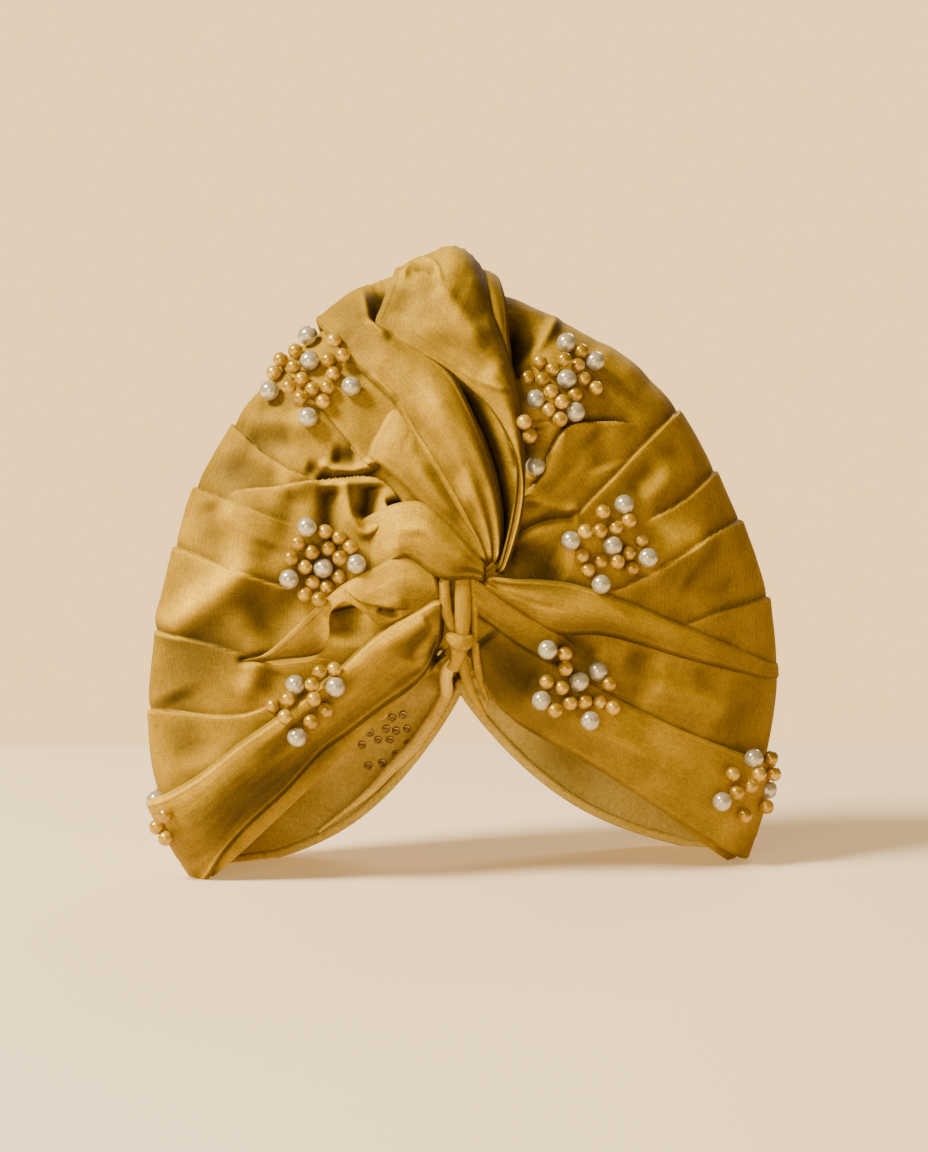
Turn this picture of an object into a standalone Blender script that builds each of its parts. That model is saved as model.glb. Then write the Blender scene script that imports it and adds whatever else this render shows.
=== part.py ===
# Pleated turban hat with a twisted front drape and clusters of pearls.
# The hat stands on its hem: front towards -Y, +Z up, lengths in metres.
# The tables below are in millimetres and are scaled where points are made.

import math
from collections import namedtuple

import bmesh
import bpy
from mathutils import Vector
from mathutils.bvhtree import BVHTree

MM = 0.001

# Cloth and clearances, in millimetres
WALL_MM = 1.5            # one turned layer of jersey
PLEAT_MM = 1.4           # how far a panel sinks where it tucks under the next pleat
GATHER_MM = 1.4          # depth of the gathers round the knot
GATHER_COUNT = 11        # gathers round the whole fan
SEAT_MM = 0.7            # how far a drape lies off the crown under it
RIM_LIFT_MM = 2.5        # how much further off it lies where it turns over the rim
EDGE_GAP_MM = 0.5        # how far a drape keeps in from its drawn edge
BEAD_GAP_MM = 0.3        # clearance between a pearl and the cloth

# Where the crown's folds meet, in millimetres
KNOT_X, KNOT_Z = 3.0, 135.0      # the twist on the front
TIE_X, TIE_Z = -3.0, 106.0       # top of the arch in the front hem
NAPE_X, NAPE_Z = -2.0, 70.0      # top of the arch in the back hem
ARCH_SHARE = 0.035               # size of each arch, as a share of the fan's radius

# How the crown stands
SWEEP = 0.18             # the right side stands further back than the left
LEAN = 0.07              # the top leans back
ROUND = 2.1              # roundness of the crown from front to back
KNOT_DEPTH_MM = 50.0     # front and back depth where all the folds meet
FOOT_MM = 2.6            # cloth lower than this is pressed flat on the floor
CENTRE_X_MM, CENTRE_Y_MM = 1.75, 5.65    # middle of the hat's box, placed over the origin

# Where each of these starts and where it is at its full strength, in fan angles or shares
KNOT_SPREAD = (0.0, 0.5)         # the depth at the knot gives way to the rim's
LEFT_SAG_DEG = (180.0, 228.9)    # the back hem sags to the left of its arch
RIGHT_SAG_DEG = (5.0, -48.3)     # and to the right
LEFT_PULL_DEG = (165.0, 210.0)   # the front's folds start from the tie, not from the knot
RIGHT_PULL_DEG = (15.0, -30.0)
FRONT_PLEATS = (0.25, 0.55)      # the pleats open out from the knot
BACK_PLEATS = (1.65, 1.2)        # and die out down the back
GATHERS = (0.6, 0.2)             # the gathers deepen towards the knot
RIM_LIFT = (0.8, 0.95)           # the drapes lift off the rim
LEFT_SAG_MM = 25.0
RIGHT_SAG_MM = 21.0
SAG_LEAN = 0.8                   # below 1 moves the sag's low point towards the arch
ARCH_ROUND = 0.6                 # a drape's arch across, from 1 for a sine to 0 for a box

PEARL_RADIUS_MM = 4.5
PEARL_SEGMENTS = 10
PEARL_RINGS = 5
BEFORE_MM = 40.0         # a place off the cloth from which a pearl is lowered on to it
BEHIND_MM = 150.0        # the same, behind the back
SEAT_STEPS = 12          # small moves that settle a pearl on the cloth
SHARP_DEG = 40.0         # edges sharper than this stay crisp

# The rim of the fan, from the right tip over the top to the left tip
Rim = namedtuple("Rim", "angle_deg radius_mm front_mm back_mm blunt dip_mm")
RIM = (
    Rim(-48.3, 185.0, 36.0, 40.0, 5.0, 0.0),
    Rim(-33.0, 165.0, 39.0, 44.0, 3.6, -4.0),
    Rim(-21.7, 154.0, 42.0, 48.0, 2.9, 10.0),
    Rim(-7.5, 141.0, 45.0, 52.0, 2.6, 18.0),
    Rim(9.0, 128.0, 48.0, 56.0, 2.4, 18.0),
    Rim(20.6, 122.5, 49.0, 58.0, 2.4, 12.0),
    Rim(37.0, 121.0, 49.0, 58.0, 2.4, 3.0),
    Rim(65.0, 121.0, 50.0, 58.0, 2.4, 0.0),
    Rim(82.0, 127.0, 50.0, 58.0, 2.4, 0.0),
    Rim(103.0, 134.0, 50.0, 58.0, 2.4, 0.0),
    Rim(122.0, 130.0, 50.0, 58.0, 2.4, 0.0),
    Rim(148.4, 128.5, 49.0, 57.0, 2.4, 0.0),
    Rim(163.1, 132.5, 49.0, 56.0, 2.4, 4.0),
    Rim(175.6, 136.5, 48.0, 54.0, 2.5, 9.0),
    Rim(191.0, 146.5, 45.0, 50.0, 2.7, 13.0),
    Rim(203.6, 160.5, 42.0, 46.0, 3.2, 12.0),
    Rim(215.8, 174.2, 39.0, 42.0, 4.2, 4.0),
    Rim(228.9, 183.5, 36.0, 38.0, 5.0, 0.0),
)

# Pleats, as the angles where one panel tucks under the top edge of the next
Pleat = namedtuple("Pleat", "side angle_deg")
PLEATS = (
    Pleat("left", 122.0),
    Pleat("left", 148.4),
    Pleat("left", 163.1),
    Pleat("left", 175.6),
    Pleat("left", 191.0),
    Pleat("left", 203.6),
    Pleat("right", 75.0),
    Pleat("right", 37.0),
    Pleat("right", 20.6),
    Pleat("right", 9.0),
    Pleat("right", -7.5),
    Pleat("right", -21.7),
    Pleat("right", -35.0),
)
STEP_DEG = 0.5           # half the width of a pleat's step
COLUMN_DEG = 6.5         # widest spacing of the crown's columns
STRIP_ACROSS = 5         # facets across each drape and band

# The three drapes that run from the top of the crown down to the knot, each row one section.
# The low, mid, lap and side edges part the under, middle and top drape.
# Heights past the rim carry on down the back of the crown.
Drape = namedtuple(
    "Drape", "low_x low_z mid_x mid_z lap_x lap_z side_x side_z under_mm middle_mm top_mm"
)
DRAPES = (
    Drape(-84, 222, -72, 260, -30, 288, 16, 292, 0, 0.5, 9),
    Drape(-72, 212, -65, 245, -26, 267, 14, 268, 0, 1, 14),
    Drape(-63, 211, -53, 234, -37, 246, 13, 254, 1, 3, 12),
    Drape(-60, 208, -41, 221, -24, 236, 16, 240, 2, 4, 9),
    Drape(-51, 196, -30, 209, -8, 227, 21, 225, 3, 5, 8),
    Drape(-41, 187, -20, 194, 5, 216, 25, 209, 4, 5, 7),
    Drape(-26, 175, -11, 179, 16, 199, 26, 192, 4, 5, 6),
    Drape(-13, 163, -3, 165, 21, 178, 26, 174, 3, 5, 5),
    Drape(-1, 153, 5, 153, 19, 158, 23, 156, 3, 4, 4),
    Drape(8, 141, 10, 140, 14, 139, 16, 139, 2, 2, 2),
)

# A band of cloth between an upper and a lower edge, each row one section
Band = namedtuple("Band", "upper_x upper_z lower_x lower_z puff_mm")
KNOT_WRAP = (
    Band(-43, 168, -45, 144, 2),
    Band(-31, 168, -34, 144, 4),
    Band(-22, 167, -25, 143, 6),
    Band(-12, 159, -16, 138, 6),
    Band(-3, 151, -8, 137, 5),
    Band(4, 144, 2, 136, 3),
)
LOWER_WRAP = (
    Band(-90, 101, -89, 97, 1),
    Band(-78, 111, -73, 102, 3),
    Band(-65, 122, -58, 107, 5),
    Band(-53, 130, -46, 117, 5),
    Band(-40, 138, -36, 116, 4),
    Band(-27, 142, -25, 119, 3),
    Band(-15, 134, -18, 124, 1),
)
BAND_LEFT = (
    Band(-137, 34, -119, 1, 1),
    Band(-118, 46, -107, 14, 3),
    Band(-100, 61, -92, 29, 4),
    Band(-82, 74, -76, 45, 4),
    Band(-64, 87, -58, 62, 4),
    Band(-46, 103, -40, 75, 4),
    Band(-29, 113, -24, 87, 4),
    Band(-15, 120, -14, 100, 2),
)
BAND_RIGHT = (
    Band(10, 116, 8, 93, 2),
    Band(17, 107, 16, 79, 3),
    Band(30, 98, 32, 67, 4),
    Band(46, 87, 50, 57, 4),
    Band(67, 78, 70, 45, 4),
    Band(89, 68, 91, 32, 4),
    Band(111, 57, 110, 16, 3),
    Band(139, 40, 126, 1, 1),
)
WRAP_RIGHT = (
    Band(15, 131, 11, 128, 2),
    Band(31, 132, 23, 122, 4),
    Band(47, 130, 37, 115, 5),
    Band(62, 126, 55, 110, 5),
    Band(80, 119, 75, 107, 4),
    Band(99, 110, 98, 100, 3),
    Band(120, 101, 121, 93, 2),
    Band(143, 92, 144, 83, 1),
)

# Pearls, by the cluster that each sits in. The back cluster is seated from behind.
Pearl = namedtuple("Pearl", "cluster x_mm z_mm")
PEARLS = (
    Pearl("top_left", -67, 238),
    Pearl("top_left", -84, 220),
    Pearl("top_left", -67, 229),
    Pearl("top_left", -50, 220),
    Pearl("top_left", -69, 209),
    Pearl("top_right", 45, 238),
    Pearl("top_right", 58, 230),
    Pearl("top_right", 45, 223),
    Pearl("top_right", 31, 215),
    Pearl("top_right", 49, 209),
    Pearl("drape_side", 31, 186),
    Pearl("mid_left", -70, 158),
    Pearl("mid_left", -78, 135),
    Pearl("mid_left", -63, 140),
    Pearl("mid_left", -48, 142),
    Pearl("mid_right", 71, 168),
    Pearl("mid_right", 47, 153),
    Pearl("mid_right", 66, 150),
    Pearl("mid_right", 82, 144),
    Pearl("mid_right", 61, 133),
    Pearl("low_left", -76, 87),
    Pearl("low_left", -59, 86),
    Pearl("low_left", -76, 64),
    Pearl("low_right", 37, 104),
    Pearl("low_right", 60, 93),
    Pearl("low_right", 51, 88),
    Pearl("low_right", 33, 81),
    Pearl("low_right", 55, 71),
    Pearl("tip_right", 130, 46),
    Pearl("tip_right", 114, 33),
    Pearl("tip_right", 139, 32),
    Pearl("tip_left", -140, 33),
    Pearl("tip_left", -133, 7),
    Pearl("back", -42, 58),
    Pearl("back", -26, 60),
    Pearl("back", -34, 48),
    Pearl("back", -44, 38),
)

# The tie that hangs from the twist, each row one section of a strand
Strand = namedtuple("Strand", "piece x_mm z_mm half_width_mm half_depth_mm")
STRANDS = (
    Strand("tie_strand_left", -9.0, 133.0, 1.5, 1.2),
    Strand("tie_strand_left", -11.0, 123.0, 1.8, 1.4),
    Strand("tie_strand_left", -8.5, 115.5, 1.8, 1.4),
    Strand("tie_strand_left", -6.0, 110.6, 1.3, 1.2),
    Strand("tie_strand_middle", -2.5, 133.0, 3.0, 1.8),
    Strand("tie_strand_middle", -1.8, 122.0, 3.4, 2.2),
    Strand("tie_strand_middle", -1.8, 110.9, 2.6, 1.8),
    Strand("tie_strand_right", 2.9, 126.0, 1.3, 1.2),
    Strand("tie_strand_right", 3.1, 112.0, 1.6, 1.5),
    Strand("tie_strand_right", 4.4, 98.0, 1.6, 1.5),
    Strand("tie_strand_right", 6.5, 90.0, 1.2, 1.2),
)
STRAND_SIDES = 8
TIE_KNOT_SIZE_MM = (4.0, 3.4, 5.6)   # half width, depth and height of the tie's knot
TIE_KNOT_DROP_MM = 1.2               # how far its middle hangs below the hem's arch
TIE_KNOT_SEGMENTS = 12
TIE_KNOT_RINGS = 7

MUSTARD = (0.47, 0.28, 0.03)
PEARL_WHITE = (0.83, 0.80, 0.74)
CROWN_ROUGHNESS = 0.75
DRAPE_ROUGHNESS = 0.72
PEARL_ROUGHNESS = 0.22

# Facets from each row of a piece's table to the next
DRAPE_STEPS = (4, 4, 2, 1, 1, 1, 1, 2, 2)
KNOT_WRAP_STEPS = (2, 2, 2, 2, 2)
LOWER_WRAP_STEPS = (2, 1, 2, 1, 2, 2)
LEFT_STEPS = (4, 2, 1, 1, 1, 1, 2)
RIGHT_STEPS = (2, 1, 1, 1, 1, 2, 4)


def hermite(a, b, slope_a, slope_b, t):
    t2, t3 = t * t, t * t * t
    return ((2 * t3 - 3 * t2 + 1) * a + (t3 - 2 * t2 + t) * slope_a
            + (3 * t2 - 2 * t3) * b + (t3 - t2) * slope_b)


def smooth_value(keys, values, at):
    """A smooth curve through the table's values, flat past its ends."""
    if at <= keys[0]:
        return values[0]
    if at >= keys[-1]:
        return values[-1]
    i = max(k for k in range(len(keys) - 1) if keys[k] <= at)
    span = keys[i + 1] - keys[i]
    before, after = max(i - 1, 0), min(i + 2, len(keys) - 1)
    slope_a = (values[i + 1] - values[before]) / (keys[i + 1] - keys[before]) * span
    slope_b = (values[after] - values[i]) / (keys[after] - keys[i]) * span
    return hermite(values[i], values[i + 1], slope_a, slope_b, (at - keys[i]) / span)


def column(rows, name):
    return [getattr(row, name) for row in rows]


RIM_ANGLES = column(RIM, "angle_deg")


def rim_value(name, angle):
    return smooth_value(RIM_ANGLES, column(RIM, name), angle)


def ramp(value, start, full):
    """Smooth rise from 0 at the start to 1 at full, whichever is the larger."""
    t = min(max((value - start) / (full - start), 0.0), 1.0)
    return t * t * (3 - 2 * t)


def fan_angle(dx, dz):
    """Degrees round the knot from +X; the open side of the fan points down."""
    angle = math.degrees(math.atan2(dz, dx))
    return angle + 360.0 if angle < -90.0 else angle


def mid_depth(x, z):
    return SWEEP * x + LEAN * z


def sag(angle, share):
    """How far the back sheet hangs below a straight line from the nape to the rim."""
    left = LEFT_SAG_MM * ramp(angle, *LEFT_SAG_DEG)
    right = RIGHT_SAG_MM * ramp(angle, *RIGHT_SAG_DEG)
    return (left + right) * math.sin(math.pi * share ** SAG_LEAN)


def fan_place(x, z):
    """Fan angle and share of the rim's radius for a place seen from the front."""
    dx, dz = x - KNOT_X, z - KNOT_Z
    angle = fan_angle(dx, dz)
    return Vector((angle, math.hypot(dx, dz) / rim_value("radius_mm", angle)))


def shell(angle, share):
    """Point and normal of the crown's outer face, in millimetres.

    The share is 0 at the knot and 1 at the rim. Past the rim the sheet turns
    over and runs on down the back, to the nape at 2.
    """
    radius = rim_value("radius_mm", angle)
    blunt = rim_value("blunt", angle)
    ray = Vector((math.cos(math.radians(angle)), 0.0, math.sin(math.radians(angle))))
    if share <= 1.0:
        depth, side = rim_value("front_mm", angle), -1.0
        x, z = KNOT_X + radius * share * ray.x, KNOT_Z + radius * share * ray.z
    else:
        share = max(2.0 - share, 0.0)
        depth, side = rim_value("back_mm", angle), 1.0
        rim_x, rim_z = KNOT_X + radius * ray.x, KNOT_Z + radius * ray.z
        x = NAPE_X + (rim_x - NAPE_X) * share
        z = NAPE_Z + (rim_z - NAPE_Z) * share - sag(angle, share)
    depth = KNOT_DEPTH_MM + (depth - KNOT_DEPTH_MM) * ramp(share, *KNOT_SPREAD)
    rise = (1.0 - share ** blunt) ** (1.0 / ROUND)
    point = Vector((x, mid_depth(x, z) + side * depth * rise, max(z, 0.0)))
    out = Vector((-SWEEP, 1.0, -LEAN)) * side * ROUND * rise ** (ROUND - 1.0) / depth
    normal = out + ray * (blunt * share ** (blunt - 1.0) / radius)
    return point, normal.normalized()


def pleat_depth(angle, share):
    """How far the crown lies in from the smooth shell at a fan angle."""
    total = 0.0
    for side, sign in (("left", 1.0), ("right", -1.0)):
        marks = sorted(sign * pleat.angle_deg for pleat in PLEATS if pleat.side == side)
        for upper, lower in zip(marks, marks[1:]):
            here = sign * angle
            if upper < here < lower:
                total = PLEAT_MM * (here - upper) / (lower - upper)
    fade = ramp(share, *FRONT_PLEATS) * ramp(share, *BACK_PLEATS)
    gathers = GATHER_MM * (0.5 - 0.5 * math.cos(math.radians(angle) * GATHER_COUNT))
    return total * fade + gathers * ramp(share, *GATHERS)


def crown_angles():
    """Column angles: two close columns at each pleat, the rest evenly spaced."""
    marks = [RIM_ANGLES[0], RIM_ANGLES[-1]]
    for pleat in PLEATS:
        marks += [pleat.angle_deg - STEP_DEG, pleat.angle_deg + STEP_DEG]
    marks.sort()
    angles = []
    for a, b in zip(marks, marks[1:]):
        count = max(1, math.ceil((b - a) / COLUMN_DEG - 0.01))
        angles += [a + (b - a) * k / count for k in range(count)]
    return angles + [marks[-1]]


def crown_shares():
    """Rows from the front arch (near 0) over the rim (1) to the back arch (near 2)."""
    front = [ARCH_SHARE, 0.16, 0.30, 0.44, 0.58, 0.70, 0.80, 0.88, 0.94, 0.98, 0.995]
    return front + [1.0] + [2.0 - share for share in reversed(front)]


def crown_place(angle, share):
    """Where a column's point lies, with the front's folds bent towards the tie."""
    if share >= 1.0:
        return angle, share
    radius = rim_value("radius_mm", angle)
    rim_x = KNOT_X + radius * math.cos(math.radians(angle))
    rim_z = KNOT_Z + radius * math.sin(math.radians(angle))
    pull = ramp(angle, *LEFT_PULL_DEG) + ramp(angle, *RIGHT_PULL_DEG)
    pole_x = KNOT_X + (TIE_X - KNOT_X) * pull
    pole_z = KNOT_Z + (TIE_Z - KNOT_Z) * pull
    dip = rim_value("dip_mm", angle) * 4.0 * share * (1.0 - share)
    x = pole_x + (rim_x - pole_x) * share
    z = pole_z + (rim_z - pole_z) * share - dip
    return fan_place(x, z)


def solid_from_grids(name, outer, inner, material):
    """One closed solid between two grids of points that share their rows and columns."""
    rows, columns = len(outer), len(outer[0])
    mesh = bpy.data.meshes.new(name)
    bm = bmesh.new()
    top = [[bm.verts.new(p * MM) for p in row] for row in outer]
    low = [[bm.verts.new(p * MM) for p in row] for row in inner]
    for i in range(rows - 1):
        for j in range(columns - 1):
            bm.faces.new((top[i][j], top[i][j + 1], top[i + 1][j + 1], top[i + 1][j]))
            bm.faces.new((low[i][j], low[i + 1][j], low[i + 1][j + 1], low[i][j + 1]))
    ring = [(i, 0) for i in range(rows)] + [(rows - 1, j) for j in range(1, columns)]
    ring += [(i, columns - 1) for i in range(rows - 2, -1, -1)]
    ring += [(0, j) for j in range(columns - 2, 0, -1)]
    for (i, j), (k, m) in zip(ring, ring[1:] + ring[:1]):
        bm.faces.new((top[i][j], top[k][m], low[k][m], low[i][j]))
    bmesh.ops.recalc_face_normals(bm, faces=bm.faces)
    bmesh.ops.triangulate(bm, faces=bm.faces)
    bm.to_mesh(mesh)
    bm.free()
    return add_object(name, mesh, material)


def add_object(name, mesh, material):
    mesh.shade_smooth()
    mesh.set_sharp_from_angle(angle=math.radians(SHARP_DEG))
    mesh.materials.append(material)
    piece = bpy.data.objects.new(name, mesh)
    bpy.context.scene.collection.objects.link(piece)
    return piece


def make_material(name, color, roughness, metallic=0.0):
    material = bpy.data.materials.new(name)
    material.use_nodes = True
    shader = material.node_tree.nodes["Principled BSDF"]
    shader.inputs["Base Color"].default_value = (*color, 1.0)
    shader.inputs["Roughness"].default_value = roughness
    shader.inputs["Metallic"].default_value = metallic
    return material


def pressed(point):
    """The same point, or the one below it on the floor where the hat rests."""
    return Vector((point.x, point.y, 0.0)) if point.z < FOOT_MM else point


def make_crown(material):
    outer, inner = [], []
    for share in crown_shares():
        outer_row, inner_row = [], []
        for angle in crown_angles():
            point, normal = shell(*crown_place(angle, share))
            outside = point - normal * pleat_depth(angle, share)
            inside = point - normal * (PLEAT_MM + WALL_MM)
            outer_row.append(pressed(outside))
            inner_row.append(pressed(inside))
        outer.append(outer_row)
        inner.append(inner_row)
    return solid_from_grids("crown", outer, inner, material)


def edge_point(rows, edge, at):
    keys = list(range(len(rows)))
    return Vector((smooth_value(keys, column(rows, edge + "_x"), at),
                   smooth_value(keys, column(rows, edge + "_z"), at)))


def make_strip(name, rows, first, second, puff_name, material, steps):
    """A wall of cloth between two edges, arched up from the crown by its puff.

    The steps give how many sections are made from each row to the next.
    """
    outer, inner = [], []
    stations = [i + k / count for i, count in enumerate(steps) for k in range(count)]
    for at in stations + [len(steps)]:
        a, b = edge_point(rows, first, at), edge_point(rows, second, at)
        inset = (b - a).normalized() * EDGE_GAP_MM
        a, b = fan_place(*(a + inset)), fan_place(*(b - inset))
        puff = smooth_value(list(range(len(rows))), column(rows, puff_name), at)
        outer_row, inner_row = [], []
        for j in range(STRIP_ACROSS + 1):
            t = j / STRIP_ACROSS
            angle, share = a.lerp(b, t)
            point, normal = shell(angle, share)
            lift = SEAT_MM + RIM_LIFT_MM * ramp(share, *RIM_LIFT)
            arch = lift + puff * math.sin(math.pi * t) ** ARCH_ROUND
            low, top = point + normal * arch, point + normal * (arch + WALL_MM)
            low.z, top.z = max(low.z, 0.0), max(top.z, 0.0)
            inner_row.append(low)
            outer_row.append(top)
        outer.append(outer_row)
        inner.append(inner_row)
    return solid_from_grids(name, outer, inner, material)


def strand_centre(x, z, half_depth):
    point, normal = shell(*fan_place(x, z))
    return point + normal * (SEAT_MM + half_depth)


def make_strand(name, material):
    """A flattened tube of cloth down the front, with its ends closed."""
    rows = [row for row in STRANDS if row.piece == name]
    bm = bmesh.new()
    rings = []
    for row in rows:
        centre = strand_centre(row.x_mm, row.z_mm, row.half_depth_mm)
        ring = []
        for k in range(STRAND_SIDES):
            turn = 2.0 * math.pi * k / STRAND_SIDES
            offset = Vector((row.half_width_mm * math.cos(turn),
                             row.half_depth_mm * math.sin(turn), 0.0))
            ring.append(bm.verts.new((centre + offset) * MM))
        rings.append(ring)
    for upper, lower in zip(rings, rings[1:]):
        for k in range(STRAND_SIDES):
            n = (k + 1) % STRAND_SIDES
            bm.faces.new((upper[k], upper[n], lower[n], lower[k]))
    bm.faces.new(rings[0])
    bm.faces.new(rings[-1])
    bmesh.ops.recalc_face_normals(bm, faces=bm.faces)
    bmesh.ops.triangulate(bm, faces=bm.faces)
    mesh = bpy.data.meshes.new(name)
    bm.to_mesh(mesh)
    bm.free()
    return add_object(name, mesh, material)


def make_tie_knot(material):
    """The small round knot that closes the arch of the front hem."""
    mesh = bpy.data.meshes.new("tie_knot")
    bm = bmesh.new()
    bmesh.ops.create_uvsphere(
        bm, u_segments=TIE_KNOT_SEGMENTS, v_segments=TIE_KNOT_RINGS, radius=MM)
    half_width, half_depth, half_height = TIE_KNOT_SIZE_MM
    bmesh.ops.scale(bm, vec=(half_width, half_depth, half_height), verts=bm.verts)
    centre = strand_centre(TIE_X, TIE_Z - TIE_KNOT_DROP_MM, half_depth) * MM
    bmesh.ops.translate(bm, vec=centre, verts=bm.verts)
    bmesh.ops.triangulate(bm, faces=bm.faces)
    bm.to_mesh(mesh)
    bm.free()
    return add_object("tie_knot", mesh, material)


def clear_scene():
    for piece in list(bpy.data.objects):
        bpy.data.objects.remove(piece)


def cloth_surface(pieces):
    """One search tree of all the cloth made so far."""
    verts, faces = [], []
    for piece in pieces:
        base = len(verts)
        verts += [vert.co.copy() for vert in piece.data.vertices]
        faces += [[base + index for index in face.vertices] for face in piece.data.polygons]
    return BVHTree.FromPolygons(verts, faces)


def seat_ball(tree, pearl, radius):
    """Centre of a ball that rests on the cloth at the pearl's place."""
    if pearl.cluster == "back":
        normal = Vector((0.0, 1.0, 0.0))
        start = Vector((pearl.x_mm, BEHIND_MM, pearl.z_mm))
    else:
        point, normal = shell(*fan_place(pearl.x_mm, pearl.z_mm))
        start = point + normal * BEFORE_MM
    hit, _, _, _ = tree.ray_cast(start * MM, -normal)
    centre = hit + normal * radius
    for _ in range(SEAT_STEPS):
        near, _, _, distance = tree.find_nearest(centre)
        away = (centre - near).normalized()
        centre += away * (radius + BEAD_GAP_MM * MM - distance)
    return centre


def make_pearls(tree, material):
    mesh = bpy.data.meshes.new("pearl")
    bm = bmesh.new()
    bmesh.ops.create_uvsphere(
        bm, u_segments=PEARL_SEGMENTS, v_segments=PEARL_RINGS, radius=PEARL_RADIUS_MM * MM)
    bmesh.ops.triangulate(bm, faces=bm.faces)
    bm.to_mesh(mesh)
    bm.free()
    mesh.shade_smooth()
    mesh.materials.append(material)
    counts = {}
    for pearl in PEARLS:
        counts[pearl.cluster] = counts.get(pearl.cluster, 0) + 1
        name = "pearl_%s_%d" % (pearl.cluster, counts[pearl.cluster])
        ball = bpy.data.objects.new(name, mesh)
        ball.location = seat_ball(tree, pearl, PEARL_RADIUS_MM * MM)
        bpy.context.scene.collection.objects.link(ball)


def place_hat():
    """Hold every piece from one empty, so that the hat's box is centred over the origin."""
    hat = bpy.data.objects.new("hat_place", None)
    for piece in bpy.data.objects:
        if piece.type == "MESH":
            piece.parent = hat
    bpy.context.scene.collection.objects.link(hat)
    hat.location = (-CENTRE_X_MM * MM, -CENTRE_Y_MM * MM, 0.0)


def main():
    clear_scene()
    pieces = [make_crown(make_material("crown_jersey", MUSTARD, CROWN_ROUGHNESS))]
    for name, rows, first, second, puff, steps in (
        ("under_drape", DRAPES, "low", "mid", "under_mm", DRAPE_STEPS),
        ("middle_drape", DRAPES, "mid", "lap", "middle_mm", DRAPE_STEPS),
        ("top_drape", DRAPES, "lap", "side", "top_mm", DRAPE_STEPS),
        ("knot_wrap", KNOT_WRAP, "upper", "lower", "puff_mm", KNOT_WRAP_STEPS),
        ("lower_wrap", LOWER_WRAP, "upper", "lower", "puff_mm", LOWER_WRAP_STEPS),
        ("band_left", BAND_LEFT, "upper", "lower", "puff_mm", LEFT_STEPS),
        ("band_right", BAND_RIGHT, "upper", "lower", "puff_mm", RIGHT_STEPS),
        ("wrap_right", WRAP_RIGHT, "upper", "lower", "puff_mm", RIGHT_STEPS),
    ):
        cloth = make_material(name + "_jersey", MUSTARD, DRAPE_ROUGHNESS)
        pieces.append(make_strip(name, rows, first, second, puff, cloth, steps))
    for name in sorted({row.piece for row in STRANDS}):
        make_strand(name, make_material(name + "_jersey", MUSTARD, DRAPE_ROUGHNESS))
    make_tie_knot(make_material("tie_knot_jersey", MUSTARD, DRAPE_ROUGHNESS))
    make_pearls(cloth_surface(pieces), make_material("pearl_white", PEARL_WHITE, PEARL_ROUGHNESS))
    place_hat()


main()
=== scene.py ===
import math
from functools import partial

import bpy
import numpy as np
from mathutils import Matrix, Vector, noise
from mathutils.bvhtree import BVHTree


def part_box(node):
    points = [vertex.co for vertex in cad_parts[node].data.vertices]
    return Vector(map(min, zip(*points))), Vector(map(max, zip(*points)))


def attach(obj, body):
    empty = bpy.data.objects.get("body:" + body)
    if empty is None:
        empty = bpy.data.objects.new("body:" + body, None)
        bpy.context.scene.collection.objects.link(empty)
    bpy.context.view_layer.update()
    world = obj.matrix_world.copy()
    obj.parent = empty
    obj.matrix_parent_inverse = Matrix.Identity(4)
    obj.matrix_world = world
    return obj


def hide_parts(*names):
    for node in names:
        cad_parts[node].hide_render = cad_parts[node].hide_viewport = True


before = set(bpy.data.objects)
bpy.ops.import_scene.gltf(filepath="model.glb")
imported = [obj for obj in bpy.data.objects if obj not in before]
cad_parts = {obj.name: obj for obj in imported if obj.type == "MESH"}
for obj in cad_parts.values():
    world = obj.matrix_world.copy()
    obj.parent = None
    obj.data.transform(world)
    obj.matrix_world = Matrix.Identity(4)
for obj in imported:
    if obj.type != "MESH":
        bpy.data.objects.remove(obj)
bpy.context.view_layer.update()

# The crown's form, the same values as in the part
crown = {
    "knot": (3.0, 135.0),           # x and z where the front's folds meet
    "tie": (-3.0, 106.0),           # top of the arch in the front hem
    "nape": (-2.0, 76.0),           # top of the arch in the back hem
    "archShare": 0.035,
    "closed": 0.004,                # the back's two hems meet in a point
    "sweep": 0.18,
    "lean": 0.07,
    "roundness": 2.1,
    "knotDepth": 50.0,
    "leftSag": 25.0,
    "rightSag": 21.0,
    "sagLean": 0.8,
    "seat": 0.7,
    "rimLift": 2.5,
    "centre": (1.75, 5.65),
    "columns": 840,                 # threads of the fine surface round the fan
    "frontRows": 106,
    "backRows": 50,
    "poleRows": 15,                 # rows up to poleShare, and rows crowded at the rim past edgeShare
    "poleShare": 0.3,
    "edgeRows": 20,
    "edgeShare": 0.93,
    "seam": 12,                     # rows past the rim where the front's piece ends
    "wall": 1.5,
    "sink": 0.5,                    # the plain surface lies this far inside the form, under its folds
}
rimNames = ("angle", "radius", "front", "back", "blunt", "dip")
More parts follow.
